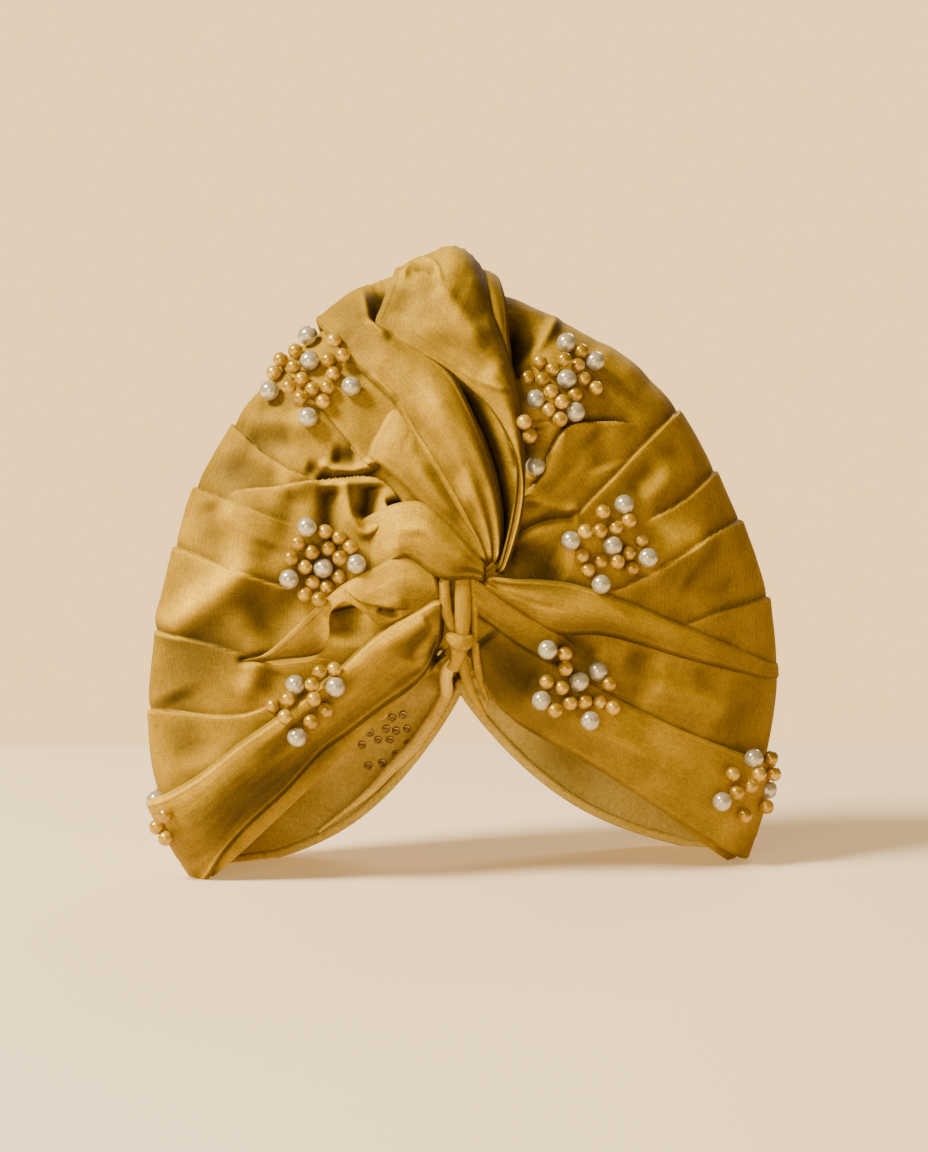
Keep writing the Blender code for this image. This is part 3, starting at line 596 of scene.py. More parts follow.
crownFolds = pleats + [
    lap("panelEdge", 2.4, 11.0, [(276, 362), (300, 386), (318, 404), (340, 430), (355, 450), (367, 465)],
        (0.12, 0.0), groove=1.2),
    lap("recessEdge", 3.4, 10.0, [(640, 424), (604, 423), (570, 427), (558, 440), (549, 460), (543, 478),
        (526, 491)], (0.2, 0.1), groove=2.5),
    valley("recess", 3.5, 6.0, [(532, 425), (534, 450), (530, 478)], (0.1, 0.2)),
    lap("recessTop", 1.5, 6.0, [(566, 421), (540, 421), (518, 422)], (0.1, 0.2)),
    ridge("rollRight", 2.8, 2.6, [(518, 499), (536, 501), (552, 507), (566, 511), (582, 508)],
        (0.1, 0.2)),
    crease("underRoll", 3.5, 1.8, [(514, 540), (532, 527), (552, 520), (578, 517)], (0.1, 0.1)),
    valley("rightPocket", 10.0, 8.0, [(526, 308), (520, 340), (511, 374)], (0.45, 0.15)),
    ridge("rightPocketEdge", 2.4, 2.8, [(556, 312), (551, 328), (537, 346), (513, 372)], (0.2, 0.1)),
    ridge("tube", 3.4, 2.3, [(318, 463), (332, 469), (348, 471), (364, 469), (379, 462)], (0.12, 0.05)),
    valley("overTube", 3.4, 4.5, [(330, 455), (346, 458), (360, 458)], (0.3, 0.3)),
    valley("tubePocket", 2.4, 3.6, [(304, 466), (318, 471), (334, 476)], (0.3, 0.2)),
    valley("tubeLine", 2.4, 2.2, [(314, 480), (345, 476), (368, 474), (382, 467)], (0.1, 0.1)),
    lap("innerEdge", 2.6, 6.0, [(222, 497), (240, 490), (280, 487), (310, 482), (345, 478), (368, 477),
        (383, 483), (394, 494), (401, 506)], (0.2, 0.05), side=-1, groove=1.0),
    valley("flute1", 5.0, 4.6, [(331, 484), (329, 505), (331, 530), (340, 560), (350, 590)], (0.1, 0.6)),
    ridge("fluteRidge", 2.5, 2.4, [(346, 480), (347, 500), (353, 520), (364, 533), (376, 528), (388, 514),
        (398, 508)], (0.05, 0.1)),
    valley("flute2", 6.0, 4.2, [(371, 484), (370, 503), (364, 524)], (0.1, 0.3)),
    valley("flute3", 2.0, 5.5, [(297, 488), (290, 510), (286, 540), (282, 565)], (0.2, 0.6)),
    valley("triangle", 5.0, 1.6, [(386, 506), (393, 503), (402, 505)], (0.3, 0.1)),
    ridge("panelSwell1", 2.4, 8.0, [(215, 505), (245, 530), (250, 560), (235, 590)]),
    valley("panelDip1", 1.4, 6.0, [(206, 500), (214, 530), (208, 565)], (0.2, 0.5)),
    valley("panelDip2", 1.6, 7.0, [(272, 540), (264, 560), (256, 575)], (0.3, 0.5)),
    valley("panelDip3", 3.6, 9.0, [(222, 452), (240, 466), (262, 478), (290, 482)], (0.3, 0.3)),
    ridge("topSwell", 2.2, 5.5, [(238, 425), (268, 420), (300, 424), (328, 432)]),
    valley("topDip", 1.5, 6.0, [(256, 404), (278, 402), (304, 410)]),
    valley("topDip2", 1.8, 6.0, [(244, 436), (270, 442), (300, 436)]),
    ridge("highlight", 5.0, 9.0, [(158, 640), (176, 624), (204, 602), (240, 577), (262, 562)]),
    ridge("lowSwell", 2.6, 6.0, [(250, 655), (254, 675), (240, 705)], (0.2, 0.4)),
    valley("lowDip", 1.6, 7.5, [(276, 668), (268, 690), (262, 702)], (0.2, 0.4)),
    valley("lowDip2", 2.4, 11.0, [(170, 690), (190, 735), (200, 768)]),
    valley("wrapLeft", 5.5, 15.0, [(245, 640), (285, 612), (320, 585), (350, 560)], (0.2, 0.2)),
    crease("wrapLine", 2.6, 1.6, [(236, 662), (262, 658), (290, 656), (320, 652)], (0.1, 0.2)),
    valley("darkHollow", 5.5, 8.5, [(346, 606), (350, 626), (350, 648)], (0.1, 0.4)),
    lap("bottomLine", 1.6, 7.0, [(346, 668), (322, 660), (300, 664), (268, 664)]),
    ridge("rightSwell1", 2.2, 6.0, [(640, 500), (662, 480), (672, 450)]),
    valley("rightDip1", 1.8, 5.5, [(630, 500), (648, 478), (690, 452)]),
    valley("rightDip2", 1.6, 7.0, [(610, 470), (600, 445), (588, 430)]),
    ridge("rightSwell2", 4.2, 9.0, [(636, 575), (664, 556), (690, 548), (720, 552)]),
    valley("rightDip3", 1.4, 6.0, [(680, 580), (715, 592), (750, 586)]),
    ridge("rightSwell3", 4.6, 12.0, [(640, 676), (676, 690), (704, 704), (742, 730)]),
    valley("rightDip4", 3.0, 7.0, [(620, 660), (670, 672), (730, 690)]),
    valley("rightPit", 3.2, 4.5, [(556, 645), (580, 650), (604, 664)]),
    valley("lipGap", 9.0, 3.4, [(452, 380), (472, 398), (488, 424), (500, 456), (508, 490), (506, 520),
        (500, 556)], (0.2, 0.12)),
    valley("knotHole", 6.0, 4.5, [(444, 646), (441, 660), (434, 674)], (0.3, 0.3)),
    valley("neckShade", 6.0, 9.0, [(505, 552), (535, 556), (572, 568)]),
    valley("drapeShade", 5.0, 8.0, [(514, 300), (522, 360), (529, 420), (530, 482)], (0.2, 0.2)),
    ridge("rimSwell", 1.6, 7.0, [(590, 345), (625, 368), (648, 388)], (0.3, 0.4)),
]


# Small wrinkles: rays and crumples of the crown, gathers at the nape, streaks and crumples of a strip.
# Heights and the streaks' lengths are millimetres, the pitches are turns of noise per millimetre
wrinkles = {"ray": 0.3, "rayAngle": 0.13, "rayShare": 2.2, "crownCrumple": 0.22, "crownPitch": 0.045,
            "gather": 1.5, "gathers": 11.0, "streak": 0.3, "streakAcross": 7.0, "streakAlong": 40.0,
            "crumple": 0.2, "crumplePitch": 0.06}


def makeCrown():
    columns, wall = crown["columns"], crown["wall"]
    fine = np.linspace(rim["angle"][0], rim["angle"][-1], 2001)
    length = np.concatenate(([0.0], np.cumsum(rimValue("radius", fine)[1:] * np.radians(np.diff(fine)))))
    angle = np.interp(np.linspace(0.0, length[-1], columns), length, fine)
    pole, edge = crown["poleShare"], crown["edgeShare"]
    poleRows, edgeRows = crown["poleRows"], crown["edgeRows"]
    front = np.concatenate([
        np.linspace(crown["archShare"], pole, poleRows, endpoint=False),
        np.linspace(pole, edge, crown["frontRows"] - poleRows - edgeRows, endpoint=False),
        1.0 - (1.0 - edge) * (1.0 - np.linspace(0.0, 1.0, edgeRows)) ** 2.2])
    down = np.linspace(0.0, 1.0, crown["backRows"] + 1)[1:]
    share = np.concatenate([front, 1.0 + (1.0 - crown["closed"]) * down ** 1.35])
    gridShare, gridAngle = np.meshgrid(share, angle, indexing="ij")
    points, normals = shell(*crownPlace(gridAngle, gridShare))
    inFront, radius = ramp(gridShare, 1.06, 1.0), rimValue("radius", gridAngle)
    points = points - normals * (crown["sink"] * ramp(gridShare, 1.3, 1.0))[..., None]
    # the pleats carry on over the rim and die out down the back
    backRise = np.zeros_like(gridShare)
    for fold in pleats:
        mark = float(fanPlace(*underPhoto(*fold["path"][1]))[0])
        side = 1.0 if mark > 90 else -1.0
        d = side * np.radians(gridAngle - mark) * radius * np.clip(2.0 - gridShare, 0, 1)
        backRise += foldShape(fold, d)[0] * ramp(gridShare, 1.75, 1.2) * (1.0 - inFront)
    gathers = 0.5 - 0.5 * np.cos(np.radians(gridAngle) * wrinkles["gathers"])
    backRise += wrinkles["gather"] * gathers * ramp(gridShare, 1.35, 1.8)
    shared = noiseField(gridAngle * wrinkles["rayAngle"], gridShare * wrinkles["rayShare"], 3.0)
    pitch = wrinkles["crownPitch"]
    crumple = wrinkles["crownCrumple"] * noiseField(points[..., 0] * pitch, points[..., 2] * pitch, 11.0)
    lift = backRise + wrinkles["ray"] * shared + crumple * ramp(gridShare, 0.2, 0.5)
    outer = foldCloth(points + normals * lift[..., None], normals, crownFolds, inFront)
    # painted shade in the hollows, painted light and shade by facing, and the painted patches
    paintedLight = paintedHollowShadeOf(((outer - points) * normals).sum(-1), 5, 12) * paintedFacingShadeOf(outer, points, normals)
    paintedLight *= 1.0 + (paintedPatchLightAt(outer, frontPaintedPatches) - 1.0) * inFront
    outer = pressOnFloor(outer)
    uvs = np.stack([np.broadcast_to(np.interp(angle, fine, length), gridShare.shape), gridShare * radius], -1)
    # the cloth's inner face is half as fine
    inner = pressOnFloor((outer - normals * wall)[::2, ::2])
    innerUvs = uvs[::2, ::2]
    seam = crown["frontRows"] + crown["seam"]
    outerPieces = []
    for name, part in (("crownFront", slice(0, seam + 1)), ("crownBack", slice(seam, len(share)))):
        count = outer[part].shape[0]
        outerPieces.append(buildPiece(name, outer[part].reshape(-1, 3), gridFaces(count, columns),
                                      uvs[part].reshape(-1, 2), clothMaterial, paintedLight[part].reshape(-1)))
    # the inner face takes only the inside's painted patches of shade and light
    innerPiece = buildPiece("crownInside", inner.reshape(-1, 3), gridFaces(*inner.shape[:2], flip=True),
                            innerUvs.reshape(-1, 2), paintedLightMaterial, paintedPatchLightAt(inner, insidePaintedPatches).reshape(-1))
    return outerPieces, innerPiece


crownOutside, crownInside = makeCrown()
print("crown made")


# A strip's form: how far its threads crowd at its edges, where the stitched hem lies, how deep its ends sink
# into the crown, in millimetres, and the painted shade on its under side
stripForm = {"crowd": 0.08, "hemPlace": 1.2, "sink": 1.6, "underPaintedShade": 0.7}


def clothStrip(name, spec):
    # a folded sheet of cloth between two edges read in the photo, with round turned edges and an under side
    uA, vA, uB, vB, liftA, liftB, swell = smoothRows(spec["rows"], spec["along"])
    xA, zA = underPhoto(uA, vA)
    xB, zB = underPhoto(uB, vB)
    t = np.linspace(0.0, 1.0, spec["across"])
    t = t - stripForm["crowd"] * np.sin(2.0 * math.pi * t)
    angle, share = fanPlace(xA[:, None] + (xB - xA)[:, None] * t, zA[:, None] + (zB - zA)[:, None] * t)
    point, normal = shell(angle, share)
    u = lengthAlong((point[:, 0] + point[:, -1]) / 2.0)
    span = np.maximum(np.linalg.norm(point[:, -1] - point[:, 0], axis=1), 0.5)[:, None]
    puff = swell[:, None] * np.sin(math.pi * t ** spec.get("skew", 1.0)) ** spec.get("arch", 0.8)
    base = liftA[:, None] * (1.0 - t) + liftB[:, None] * t
    lift = base + puff + crown["rimLift"] * ramp(share, 0.85, 0.97) * ramp(share, 1.07, 1.02)
    edge = np.minimum(t, 1.0 - t)[None] * span
    lift = lift + spec.get("hem", 0.2) * np.exp(-(edge - stripForm["hemPlace"]) ** 2)
    for count, rise, start, full in spec.get("gathers", ()):
        lift = lift + rise * np.cos(2.0 * math.pi * count * t) * ramp(u / u[-1], start, full)[:, None]
    alongU = np.broadcast_to((u / wrinkles["streakAlong"])[:, None], share.shape)
    streak = noiseField(t * span / wrinkles["streakAcross"], alongU, spec["seed"])
    pitch = wrinkles["crumplePitch"]
    crumple = noiseField(point[..., 0] * pitch, point[..., 2] * pitch, spec["seed"] + 3.0)
    lift = lift + (wrinkles["streak"] * streak + wrinkles["crumple"] * crumple) * ramp(edge, 0.0, 6.0)
    thick = spec["thick"]
    for sink, way in ((spec.get("sinkStart", 0.0), u), (spec.get("sinkEnd", 0.0), u[-1] - u)):
        if sink:
            shown = ramp(way, 0.0, sink)[:, None]
            lift = lift * shown - (thick + stripForm["sink"]) * (1.0 - shown)
    top = point + normal * (lift + thick)[..., None]
    top = foldCloth(top, normal, spec.get("folds", ()), ramp(share, 1.1, 1.0))
    height = ((top - point) * normal).sum(-1)
    # painted shade in the hollows, painted light and shade by facing, and the painted patches
    paintedLight = paintedHollowShadeOf(height, 4, 10) * paintedFacingShadeOf(top, point, normal) * paintedPatchLightAt(top, frontPaintedPatches)
    turns = np.linspace(0.0, math.pi, 7)[1:-1]
    radius = thick / 2.0
    rolls = []
    for last, beside, angles in ((-1, -3, turns), (0, 2, turns[::-1])):
        upright = normal[:, last]
        out = unit(top[:, last] - top[:, beside])
        out = unit(out - upright * (out * upright).sum(1, keepdims=True))
        rolls.append(np.stack([top[:, last] + upright * radius * (math.cos(a) - 1.0)
                               + out * radius * math.sin(a) for a in angles], 1))
    under = (top - normal * thick)[:, ::-4]
    loop = pressOnFloor(np.concatenate([top, rolls[0], under, rolls[1]], 1))
    count = loop.shape[1]
    across = np.concatenate([t, np.full(len(turns), 1.0), t[::-4], np.zeros(len(turns))]) * span
    uvs = np.stack([np.broadcast_to(u[:, None], (len(u), count)), across], -1)
    middle = np.stack([loop[0].mean(0), loop[-1].mean(0)])
    points = np.concatenate([loop.reshape(-1, 3), middle])
    uvs = np.concatenate([uvs.reshape(-1, 2), uvs[[0, -1], 0]])
    # the turned edges take the top's painted shade and light, the under side a darker painted shade
    firstEdge, lastEdge = (np.repeat(paintedLight[:, [i]], len(turns), 1) for i in (0, -1))
    shade = np.concatenate([paintedLight, lastEdge, paintedLight[:, ::-4] * stripForm["underPaintedShade"], firstEdge], 1)
    piece = buildPiece(name, points, tubeFaces(len(u), count), uvs, clothMaterial,
                       np.concatenate([shade.reshape(-1), [1.0, 1.0]]))
    sides = np.cross(top[1:, 1:] - top[:-1, :-1], top[1:, :-1] - top[:-1, 1:])
    area = np.linalg.norm(sides, axis=-1).sum() / 2.0 * 1e-6
    length = np.linalg.norm(np.diff(top.mean(1), axis=0), axis=1).sum() * 1e-3
    return piece, (area / length, length)


# Each row: first edge, second edge (photo pixels), their heights over the form and the middle's swell (mm)
underDrape = {
    "thick": 1.6, "along": 190, "across": 72, "seed": 21.0, "sinkStart": 6.0, "sinkEnd": 7.0,
    "gathers": ((1.5, 0.7, 0.5, 0.9),),
    "rows": (
        (396, 402, 405, 408, -1.6, 0.2, 0.5),
        (384, 424, 415, 425, -0.9, 0.4, 1.5),
        (372, 446, 425, 443, -0.2, 0.4, 3.0),
        (371, 458, 432, 455, 1.0, 0.4, 3.6),
        (384, 468, 440, 466, 2.4, 0.4, 3.6),
        (402, 484, 450, 484, 2.8, 0.4, 3.4),
        (421, 503, 461, 504, 2.2, 0.4, 3.0),
        (448, 526, 474, 526, 1.4, 0.4, 2.4),
        (470, 549, 484, 548, 1.0, 0.4, 1.8),
        (486, 570, 491, 571, 0.6, 0.4, 1.0),
    ),
    "folds": [
        ridge("brightRidge", 1.6, 3.0, [(410, 455), (436, 492), (460, 526)], (0.3, 0.3)),
    ],
}
middleDrape = {
    "thick": 1.8, "along": 220, "across": 90, "seed": 22.0, "sinkStart": 12.0, "sinkEnd": 7.0, "hem": 0.5,
    "gathers": ((2.5, 0.9, 0.5, 0.85),),
    "rows": (
        (330, 290, 402, 236, 1.0, 0.5, 1.0),
        (312, 316, 402, 262, 1.0, 0.5, 1.0),
        (320, 330, 402, 280, 1.4, 0.5, 2.0),
        (334, 343, 400, 298, 1.8, 0.5, 2.6),
        (348, 357, 398, 322, 2.0, 0.5, 3.2),
        (363, 373, 408, 344, 1.4, 0.5, 3.8),
        (380, 388, 428, 358, 0.8, 0.4, 4.4),
        (396, 406, 448, 374, 1.4, 0.8, 5.0),
        (412, 433, 462, 397, 2.2, 1.4, 5.6),
        (429, 461, 476, 428, 2.4, 1.8, 5.8),
        (447, 492, 489, 462, 2.4, 2.0, 5.2),
        (463, 520, 499, 500, 2.2, 1.6, 4.2),
        (477, 545, 501, 538, 1.8, 1.2, 3.0),
        (488, 569, 496, 572, 1.4, 0.8, 1.4),
    ),
    "folds": [
        valley("vPocket", 7.0, 5.5, [(384, 276), (383, 295), (379, 318), (376, 328)], (0.35, 0.25)),
        ridge("vRidge", 2.2, 2.2, [(362, 288), (367, 306), (371, 319), (379, 331), (392, 340)],
            (0.2, 0.2)),
        ridge("softEdge", 1.6, 2.6, [(366, 374), (384, 389), (398, 405)], (0.3, 0.3)),
        valley("dip", 2.6, 4.5, [(404, 398), (424, 432), (452, 462), (474, 500)], (0.3, 0.3)),
        crease("dip2", 2.0, 1.6, [(466, 494), (480, 520), (490, 548), (493, 572)], (0.3, 0.0)),
        ridge("swell", 2.0, 5.0, [(412, 372), (446, 412), (472, 452), (487, 492)], (0.3, 0.3)),
        valley("shadeLeft", 1.2, 6.0, [(336, 330), (356, 346), (384, 362)], (0.3, 0.3)),
    ],
}
topDrape = {
    "thick": 1.8, "along": 250, "across": 110, "seed": 23.0, "sinkStart": 24.0, "sinkEnd": 5.0,
    "hem": 0.12, "skew": 1.9, "arch": 0.95, "gathers": ((1.5, 0.6, 0.6, 0.9),),
    "rows": (
        (446, 212, 474, 214, 0.0, 0.0, 3.0),
        (438, 240, 472, 234, 2.0, 5.0, 14.0),
        (421, 262, 473, 252, 4.0, 6.5, 13.5),
        (405, 281, 479, 276, 5.0, 5.5, 10.0),
        (394, 300, 486, 300, 4.5, 4.0, 8.0),
        (384, 317, 492, 322, 3.4, 3.0, 7.0),
        (379, 331, 499, 341, 2.6, 2.6, 7.0),
        (398, 343, 506, 360, 2.6, 2.4, 7.0),
        (424, 358, 512, 380, 2.8, 2.4, 6.6),
        (447, 372, 517, 402, 3.6, 2.4, 6.0),
        (468, 391, 520, 426, 5.0, 2.4, 5.0),
        (487, 412, 522, 452, 6.2, 2.2, 4.0),
        (502, 438, 523, 477, 7.0, 2.0, 3.0),
        (512, 466, 522, 502, 7.0, 2.0, 2.4),
        (511, 502, 518, 528, 5.8, 2.0, 1.8),
        (505, 538, 510, 553, 4.2, 2.0, 1.2),
        (496, 576, 500, 577, 2.6, 2.0, 0.6),
    ),
    "folds": [
        valley("loopHollow", 1.3, 5.0, [(424, 264), (431, 276), (434, 292), (434, 308)], (0.3, 0.7)),
        valley("loopMouth", 1.7, 1.4, [(413, 272), (419, 268), (426, 266), (432, 269), (435, 276)],
            (0.35, 0.35)),
        ridge("loopRim", 1.7, 1.7, [(401, 280), (407, 270), (415, 263), (426, 261), (435, 266),
            (440, 280), (443, 298)], (0.1, 0.4)),
        ridge("crestRidge", 2.8, 4.5, [(438, 282), (450, 304), (470, 328), (488, 350)]),
        valley("leftDip", 1.3, 6.0, [(412, 286), (405, 303), (400, 322)], (0.2, 0.4)),
        valley("longDip", 2.2, 5.5, [(418, 332), (446, 343), (474, 358), (498, 374)], (0.4, 0.2)),
        ridge("faintLine", 0.9, 1.4, [(458, 366), (478, 381), (498, 388), (512, 392)], (0.3, 0.2)),
        valley("rightFall", 0.8, 7.0, [(464, 262), (469, 284), (480, 310), (492, 332)]),
    ],
}
crestLayer = {
    "thick": 1.6, "along": 120, "across": 40, "seed": 24.0, "sinkStart": 16.0, "sinkEnd": 10.0,
    "rows": (
        (470, 222, 492, 232, 0.0, 0.0, 0.6),
        (470, 245, 493, 252, 4.0, 1.6, 1.4),
        (472, 262, 489, 268, 8.0, 5.0, 1.5),
        (478, 286, 493, 284, 5.0, 4.0, 1.5),
        (484, 308, 500, 302, 3.2, 2.6, 1.2),
        (491, 330, 505, 320, 2.2, 1.2, 1.0),
        (498, 350, 508, 346, 1.4, 0.6, 0.6),
        (508, 374, 512, 374, 0.6, 0.4, 0.2),
    ),
}
knotWrap = {
    "thick": 2.0, "along": 140, "across": 80, "seed": 31.0, "sinkStart": 20.0, "sinkEnd": 4.0,
    "gathers": ((2.0, 0.6, 0.55, 0.9),),
    "rows": (
        (358, 524, 360, 578, 0.5, 0.2, 1.0),
        (380, 512, 382, 568, 1.2, 1.0, 3.0),
        (400, 505, 402, 556, 2.2, 3.0, 4.0),
        (421, 505, 417, 561, 2.8, 3.8, 4.4),
        (441, 520, 430, 571, 3.2, 4.2, 4.6),
        (459, 539, 446, 578, 3.4, 4.0, 4.2),
        (473, 556, 467, 577, 3.4, 3.6, 3.0),
        (488, 571, 488, 579, 2.6, 2.8, 1.4),
    ),
    "folds": [
        ridge("softRidge", 1.2, 3.0, [(392, 528), (424, 530), (452, 550), (474, 566)], (0.3, 0.2)),
    ],
}
lowerWrap = {
    "thick": 1.5, "along": 170, "across": 64, "seed": 32.0, "sinkStart": 16.0, "sinkEnd": 6.0, "hem": 0.1,
    "rows": (
        (236, 663, 242, 666, 0.4, 0.0, 0.2),
        (266, 654, 276, 659, 1.6, 0.2, 0.4),
        (296, 628, 316, 653, 3.2, 0.6, 0.6),
        (312, 613, 327, 636, 3.6, 4.5, -0.6),
        (326, 600, 329, 611, 3.6, 6.5, 0.2),
        (341, 587, 344, 600, 3.4, 7.5, 0.6),
        (357, 578, 361, 609, 3.0, 8.0, 0.8),
        (376, 568, 379, 624, 2.6, 6.5, 1.6),
        (394, 558, 400, 619, 2.2, 5.0, 2.6),
        (413, 558, 420, 611, 1.8, 4.0, 2.8),
        (429, 569, 436, 600, 1.4, 3.4, 2.0),
        (444, 577, 448, 588, 1.0, 2.0, 0.8),
    ),
    "folds": [
        lap("lipLine", 1.8, 5.0, [(344, 587), (360, 600), (380, 606), (410, 610)], (0.1, 0.2),
            groove=1.0),
        valley("lipHollow", 2.6, 1.8, [(376, 608), (390, 613), (402, 611)], (0.3, 0.3)),
    ],
}
bandLeft = {
    "thick": 2.2, "along": 230, "across": 76, "seed": 33.0, "sinkStart": 20.0, "sinkEnd": 5.0,
    "hem": 0.35, "skew": 0.55, "gathers": ((1.5, 0.6, 0.7, 0.95),),
    "rows": (
        (138, 802, 180, 884, 0.2, 0.0, 0.2),
        (157, 797, 204, 881, 1.4, 0.6, 1.0),
        (198, 776, 223, 852, 2.6, 0.4, 3.0),
        (240, 743, 250, 822, 3.4, 0.2, 3.8),
        (280, 715, 285, 790, 3.4, 0.2, 4.2),
        (310, 692, 320, 752, 3.0, 0.4, 4.4),
        (340, 668, 347, 732, 2.6, 0.6, 4.8),
        (362, 646, 382, 705, 2.0, 1.2, 4.6),
        (386, 626, 407, 688, 2.8, 1.6, 4.6),
        (414, 611, 424, 671, 3.4, 2.4, 4.8),
        (434, 601, 434, 650, 3.2, 2.6, 3.6),
        (448, 608, 446, 634, 1.4, 1.4, 1.4),
    ),
    "folds": [
        ridge("brow", 2.0, 5.0, [(372, 650), (398, 640), (430, 622)], (0.3, 0.1)),
        valley("browDip", 2.6, 4.5, [(436, 632), (420, 648), (412, 668)], (0.2, 0.2)),
        valley("longDip", 1.8, 5.0, [(250, 772), (292, 742), (336, 700), (376, 672)], (0.3, 0.3)),
    ],
}
bandRight = {
    "thick": 2.0, "along": 230, "across": 80, "seed": 34.0, "sinkStart": 4.0, "sinkEnd": 24.0, "hem": 0.3,
    "gathers": ((2.0, 0.8, 0.35, 0.05),),
    "rows": (
        (468, 606, 474, 668, 0.6, 1.2, 0.6),
        (480, 620, 484, 687, 0.8, 1.4, 2.0),
        (498, 632, 498, 705, 1.0, 1.4, 3.0),
        (520, 648, 518, 722, 0.8, 1.4, 3.6),
        (545, 662, 541, 736, 0.4, 1.4, 4.0),
        (578, 678, 566, 750, 0.0, 1.4, 4.0),
        (612, 698, 600, 769, 0.2, 1.2, 3.8),
        (640, 712, 640, 795, 0.6, 1.2, 3.4),
        (680, 731, 680, 821, 0.8, 1.0, 3.0),
        (724, 748, 717, 842, 0.8, 0.8, 2.4),
        (770, 764, 744, 856, 0.4, 0.4, 0.8),
        (790, 770, 768, 860, 0.0, 0.0, 0.2),
    ),
    "folds": [
        ridge("sweepFold", 1.8, 5.0, [(520, 690), (560, 715), (620, 745), (690, 780)]),
        valley("sweepDip", 5.0, 8.0, [(478, 640), (496, 662), (520, 680), (556, 696)], (0.1, 0.3)),
    ],
}
wrapRight = {
    "thick": 1.8, "along": 200, "across": 52, "seed": 35.0, "sinkStart": 3.0, "sinkEnd": 26.0, "hem": 0.3,
    "gathers": ((1.5, 0.7, 0.4, 0.05),),
    "rows": (
        (484, 577, 480, 585, 2.0, 1.8, 0.6),
        (508, 580, 498, 598, 2.2, 1.8, 2.0),
        (538, 581, 525, 614, 2.2, 1.8, 3.4),
        (570, 585, 556, 632, 2.0, 2.0, 4.2),
        (602, 595, 598, 633, 1.6, 2.6, 4.4),
        (640, 609, 636, 642, 1.2, 2.4, 4.0),
        (680, 626, 678, 655, 0.8, 2.2, 3.0),
        (730, 647, 728, 668, 0.0, 0.8, 1.6),
        (774, 667, 774, 679, -3.4, -3.2, 0.3),
        (790, 672, 790, 682, -3.0, -3.0, 0.2),
    ),
    "folds": [
        crease("foldLine", 1.4, 1.6, [(486, 580), (510, 594), (545, 606), (580, 612)], (0.0, 0.4)),
    ],
}
innerWrap = {
    "thick": 1.6, "along": 120, "across": 40, "seed": 36.0, "sinkStart": 2.0, "sinkEnd": 12.0, "hem": 0.5,
    "gathers": ((1.5, 0.6, 0.5, 0.05),),
    "rows": (
        (472, 580, 466, 592, 1.6, 0.8, 0.6),
        (488, 590, 474, 612, 1.4, 0.6, 1.6),
        (508, 604, 496, 630, 1.0, 0.4, 2.4),
        (530, 618, 520, 646, 0.8, 0.4, 2.6),
        (552, 630, 546, 660, 0.6, 0.4, 2.0),
        (575, 646, 572, 668, 0.4, 0.2, 1.0),
    ),
}
strips = {"underDrape": underDrape, "middleDrape": middleDrape, "topDrape": topDrape,
          "crestLayer": crestLayer, "knotWrap": knotWrap, "lowerWrap": lowerWrap, "bandLeft": bandLeft,
          "bandRight": bandRight, "wrapRight": wrapRight, "innerWrap": innerWrap}
flatSizes, stripPieces = {}, []
for name, spec in strips.items():
    piece, flatSizes[name] = clothStrip(name, spec)
    stripPieces.append(piece)
# Each is a strip of cloth, folded and sewn to the crown; the small layer behind the crest is a narrow one.
# The small layer behind the crest is too narrow to be declared by itself, and goes with the top drape
for piece in stripPieces:
    print("strip", piece.name, "flat mm", [round(1000 * side) for side in flatSizes[piece.name]])
print("drapes, wraps and bands made")


def tube(name, centres, halfWidth, halfDepth, normals, sides=20, material=clothMaterial, bright=1.0):
    # a soft flattened cord of cloth along a path, pinched shut at its ends
    centres = np.array(centres, float)
    tangent = unit(np.gradient(centres, axis=0))
    out = unit(normals - tangent * (normals * tangent).sum(1, keepdims=True))
    across = np.cross(tangent, out)
    turn = np.linspace(0.0, 2.0 * math.pi, sides, endpoint=False)
    ring = (across[:, None] * np.cos(turn)[None, :, None] * np.asarray(halfWidth)[:, None, None]
            + out[:, None] * np.sin(turn)[None, :, None] * np.asarray(halfDepth)[:, None, None])
    points = centres[:, None] + ring
    count = len(centres)
    length = lengthAlong(centres)
    uvs = np.stack([np.broadcast_to(length[:, None], (count, sides)),
                    np.broadcast_to(turn * np.mean(halfWidth), (count, sides))], -1).reshape(-1, 2)
    points = np.concatenate([points.reshape(-1, 3), centres[[0, -1]]])
    uvs = np.concatenate([uvs, uvs[[0, -1]]])
    # painted shade, darker along its two sides and at its ends, and lighter or darker by its painted
    # brightness
    light = np.interp(np.abs(np.sin(turn)), (0.0, 0.6, 1.0), (0.62, 1.0, 1.12)) * bright
    light = np.concatenate([np.tile(light, count), [0.6, 0.6]])
    return buildPiece(name, pressOnFloor(points), tubeFaces(count, sides), uvs, material, light)


def frontPath(rows, count):
    # a path over the front from rows of photo u, v, half width, half depth and height over the form
    u, v, width, depth, lift = smoothRows(rows, count)
    point, normal = shell(*fanPlace(*underPhoto(u, v)))
    return point + normal * (lift + depth)[:, None], width, depth, normal


